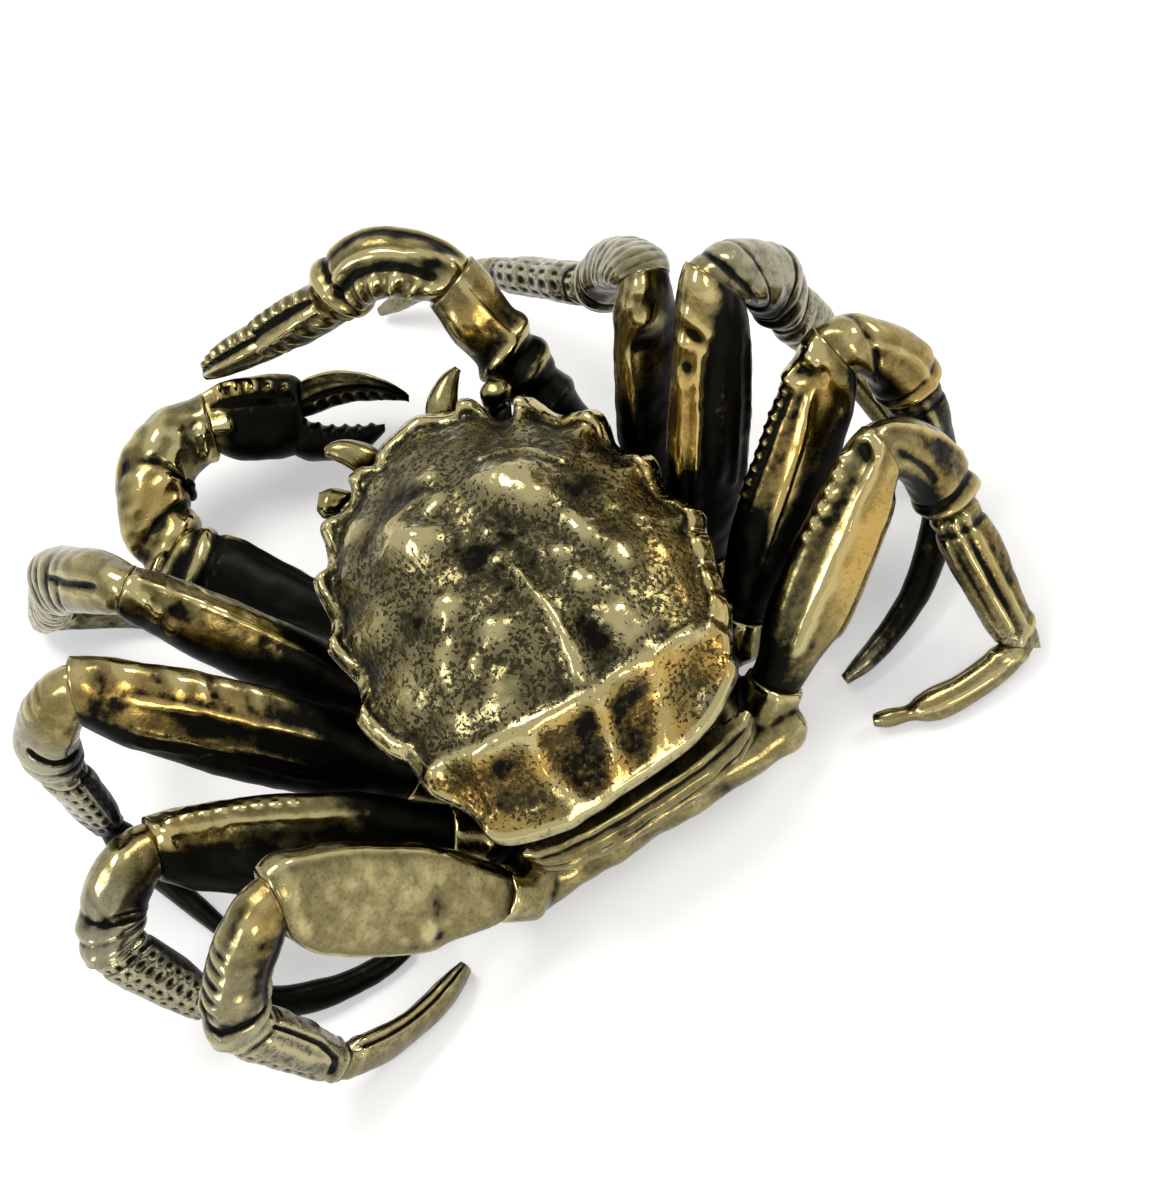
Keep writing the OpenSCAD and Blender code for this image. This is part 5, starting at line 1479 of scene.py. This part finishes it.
class OBJECT_OT_crab_claws(bpy.types.Operator):
    """Build the two claws, each of an arm, a wrist, a palm with its fixed finger and a movable finger"""

    bl_idname = "crab.claws"
    bl_label = "Claws"

    def execute(self, context):
        sizes = context.scene.crab_sizes
        arm, palm, tip = sizes.arm_width / MM, sizes.palm_width / MM, sizes.finger_width / MM
        for side, side_name in SIDES:
            claw = side_name + "_claw_"
            wrist = WRIST_WIDTH[side]
            faces = (CLAW_FACE, CLAW_FACE, PALM_FACE[side])
            widths = (
                (arm, arm * ARM_FLATNESS), (wrist, wrist * WRIST_FLATNESS), (palm, sizes.palm_thickness / MM),
            )
            for (part, slot), ends, face, width in zip(CLAW_PARTS, claw_ends(side), faces, widths):
                name = claw + part
                palm_piece = limb_piece(
                    name + "_skin", slot, ends, face, *width, look_of(name), side, seed_of(name)
                )
            # Both fingers stand on the end of the palm, the last piece of the chain
            stop, along = ends[1], ends[3]
            across = np.cross(unit(face - along * (face @ along)), along)
            shift = (palm * PALM_END_SHARE - tip) / 2 - FINGER_INSET
            for part, look, sign, sunk, length, splay in (
                ("finger", "finger", side, 0.0, FINGER_LENGTH, FINGER_SPLAY),
                ("palm", "fixed", -side, FIXED_SINK, FIXED_FINGER_LENGTH, 0.0),
            ):
                name = claw + part
                a = stop + across * (sign * shift) - along * sunk
                b = a + along * length - across * (sign * splay)
                ends = (a, b, along, unit(b - a), across * sign * FINGER_BOW)
                finger = limb_piece(
                    name + "_skin", "dark_brass", ends, face, tip, tip, look_of(claw + look), side,
                    seed_of(name) + 7,
                )
            # The fixed finger, made last, is one casting with the palm
            join_into(palm_piece, finger)
        return {"FINISHED"}


def join_into(target, extra):
    """Join one piece into another and drop the spare object."""
    with bpy.context.temp_override(active_object=target, selected_editable_objects=[target, extra], object=target):
        bpy.ops.object.join()


EYE = dict(
    width=((0, 0.8), (0.3, 0.82), (0.6, 1), (0.85, 1), (1, 0.6)), forms=(("collar", 0.4, 0.06, -0.1),), lump=0.05,
    dark=((0, 0.6), (0.4, 0.2), (1, 0)), near=0.0,
)
FEELER = dict(
    width=((0, 0.8), (0.2, 0.96), (0.45, 1), (0.7, 0.8), (0.88, 0.56), (1, 0.26)),
    forms=(("collar", 0.25, 0.05, -0.08),), lump=0.05, dark=((0, 0.7), (0.4, 0.2), (1, 0)), near=0.0,
)


class OBJECT_OT_crab_feelers(bpy.types.Operator):
    """Build the eye stubs and the hooked feelers"""

    bl_idname = "crab.feelers"
    bl_label = "Eyes and Feelers"

    def execute(self, context):
        forward = np.array((0.0, -1.0, 0.0))
        for side, side_name in SIDES:
            across, way, bow = FEELER_WAY[side]
            for part, root, step, bow, face, width, look, seed in (
                (
                    "eye", (side * EYE_X, FACE_FRONT_Y, FACE_TOP_Z - EYE_DROP), EYE_LENGTH * unit(EYE_WAY[side]),
                    (0, 0, 0), (0, 0, 1.0), EYE_WIDTH, EYE, 11,
                ),
                (
                    "feeler", (across, FACE_FRONT_Y, FACE_TOP_Z - FEELER_DROP), FEELER_LENGTH * unit(way),
                    bow, (0, 1.0, 1.0), FEELER_WIDTH, FEELER, 12,
                ),
            ):
                a, bow = np.array(root), np.array(bow)
                b = a + step
                ends = (a, b, forward, unit(b - a - 4 * bow), bow)
                limb_piece(
                    f"{side_name}_{part}_skin", "polished_brass", ends, np.array(face), width, width, look, side,
                    seed, stations=40, around=36,
                )
        return {"FINISHED"}


class OBJECT_OT_crab_stage(bpy.types.Operator):
    """Set up the floor, the soft studio light and the camera"""

    bl_idname = "crab.stage"
    bl_label = "Stage"

    def execute(self, context):
        scene = context.scene
        self.floor(scene)
        self.light(scene)
        self.camera(scene)
        scene.view_settings.view_transform = "Standard"
        return {"FINISHED"}

    def floor(self, scene):
        """White floor that glows a little where it is seen, and sheds no light on the crab by that."""
        mesh = bpy.data.meshes.new("floor")
        r = FLOOR_REACH
        mesh.from_pydata([(-r, -r, 0), (r, -r, 0), (r, r, 0), (-r, r, 0)], [], [(0, 1, 2, 3)])
        floor = bpy.data.objects.new("floor", mesh)
        scene.collection.objects.link(floor)
        material = bpy.data.materials.new("floor")
        material.use_nodes = True
        tree = material.node_tree
        shader = tree.nodes["Principled BSDF"]
        set_inputs(shader, base_color=scene.crab_finish.floor, roughness=0.8, emission_color=(1, 1, 1, 1))
        glow = math_node(tree, (-200, -200), "MULTIPLY", seen_rays(tree, -200), FLOOR_GLOW)
        tree.links.new(glow, shader.inputs["Emission Strength"])
        mesh.materials.append(material)

    def light(self, scene):
        """White studio sky, brighter where it is seen than where it lights the crab, and four soft lamps."""
        world = bpy.data.worlds.new("studio")
        world.use_nodes = True
        scene.world = world
        tree = world.node_tree
        sky = tree.nodes["Background"]
        set_inputs(sky, color=(1, 1, 1, 1))
        strength = node(tree, "ShaderNodeMapRange", (-150, 0))
        tree.links.new(seen_rays(tree, 0), strength.inputs["Value"])
        set_inputs(strength, to_min=SKY_ON_OBJECT, to_max=SKY_IN_VIEW)
        tree.links.new(strength.outputs["Result"], sky.inputs["Strength"])
        for name, place, size, power, colour in LAMPS:
            lamp = bpy.data.lights.new(name, "AREA")
            lamp.shape = "SQUARE"
            lamp.size = size
            lamp.energy = power
            lamp.color = colour
            holder = bpy.data.objects.new(name, lamp)
            holder.location = place
            aim = Vector((0, 0, TARGET_Z * MM)) - Vector(place)
            holder.rotation_euler = aim.to_track_quat("-Z", "Y").to_euler()
            scene.collection.objects.link(holder)

    def camera(self, scene):
        """Camera behind and above the crab, turned about its own axis as the photograph is."""
        rise, roll = math.radians(CAMERA_RISE), math.radians(CAMERA_ROLL)
        target = Vector((0, 0, TARGET_Z * MM))
        back = Vector((0, math.cos(rise), math.sin(rise)))
        across = Vector((-1, 0, 0))
        up = across.cross(-back)
        right = across * math.cos(roll) - up * math.sin(roll)
        top = across * math.sin(roll) + up * math.cos(roll)
        # The target isn't in the middle of the picture, so the camera looks a little past it
        aside, below = PHOTO_WIDTH / 2 - TARGET_PIXEL[0], PHOTO_HEIGHT / 2 - TARGET_PIXEL[1]
        forward = -back + right * aside / FOCAL_LENGTH - top * below / FOCAL_LENGTH
        forward.normalize()
        right = (right - forward * right.dot(forward)).normalized()
        top = right.cross(forward)
        data = bpy.data.cameras.new("camera")
        data.lens = FOCAL_LENGTH * SENSOR / PHOTO_HEIGHT
        data.clip_start, data.clip_end = 0.01, 10
        camera = bpy.data.objects.new("camera", data)
        turn = Matrix((right, top, -forward)).transposed()
        place = target + back * scene.crab_finish.camera_distance
        camera.matrix_world = Matrix.Translation(place) @ turn.to_4x4()
        scene.collection.objects.link(camera)
        scene.camera = camera


class VIEW3D_PT_crab(bpy.types.Panel):
    """Lists the crab's sizes, colours and pieces"""

    bl_label = "Brass Crab"
    bl_space_type = "VIEW_3D"
    bl_region_type = "UI"
    bl_category = "Brass Crab"

    def draw(self, context):
        layout = self.layout
        for group in (context.scene.crab_sizes, context.scene.crab_finish):
            for name in group.__annotations__:
                layout.prop(group, name)
        for operator in PIECES:
            layout.operator(operator.bl_idname)


PIECES = (
    OBJECT_OT_crab_finishes,
    OBJECT_OT_crab_shell,
    OBJECT_OT_crab_body,
    OBJECT_OT_crab_feelers,
    OBJECT_OT_crab_legs,
    OBJECT_OT_crab_claws,
    OBJECT_OT_crab_stage,
)
CLASSES = (CrabSizes, CrabFinish) + PIECES + (VIEW3D_PT_crab,)


def register():
    for cls in CLASSES:
        bpy.utils.register_class(cls)
    bpy.types.Scene.crab_sizes = PointerProperty(type=CrabSizes)
    bpy.types.Scene.crab_finish = PointerProperty(type=CrabFinish)


def unregister():
    del bpy.types.Scene.crab_finish
    del bpy.types.Scene.crab_sizes
    for cls in reversed(CLASSES):
        bpy.utils.unregister_class(cls)


def main():
    register()
    bpy.ops.crab.finishes()
    bpy.ops.crab.shell()
    bpy.ops.crab.body()
    bpy.ops.crab.feelers()
    bpy.ops.crab.legs()
    bpy.ops.crab.claws()
    bpy.ops.crab.stage()


if __name__ == "__main__":
    main()
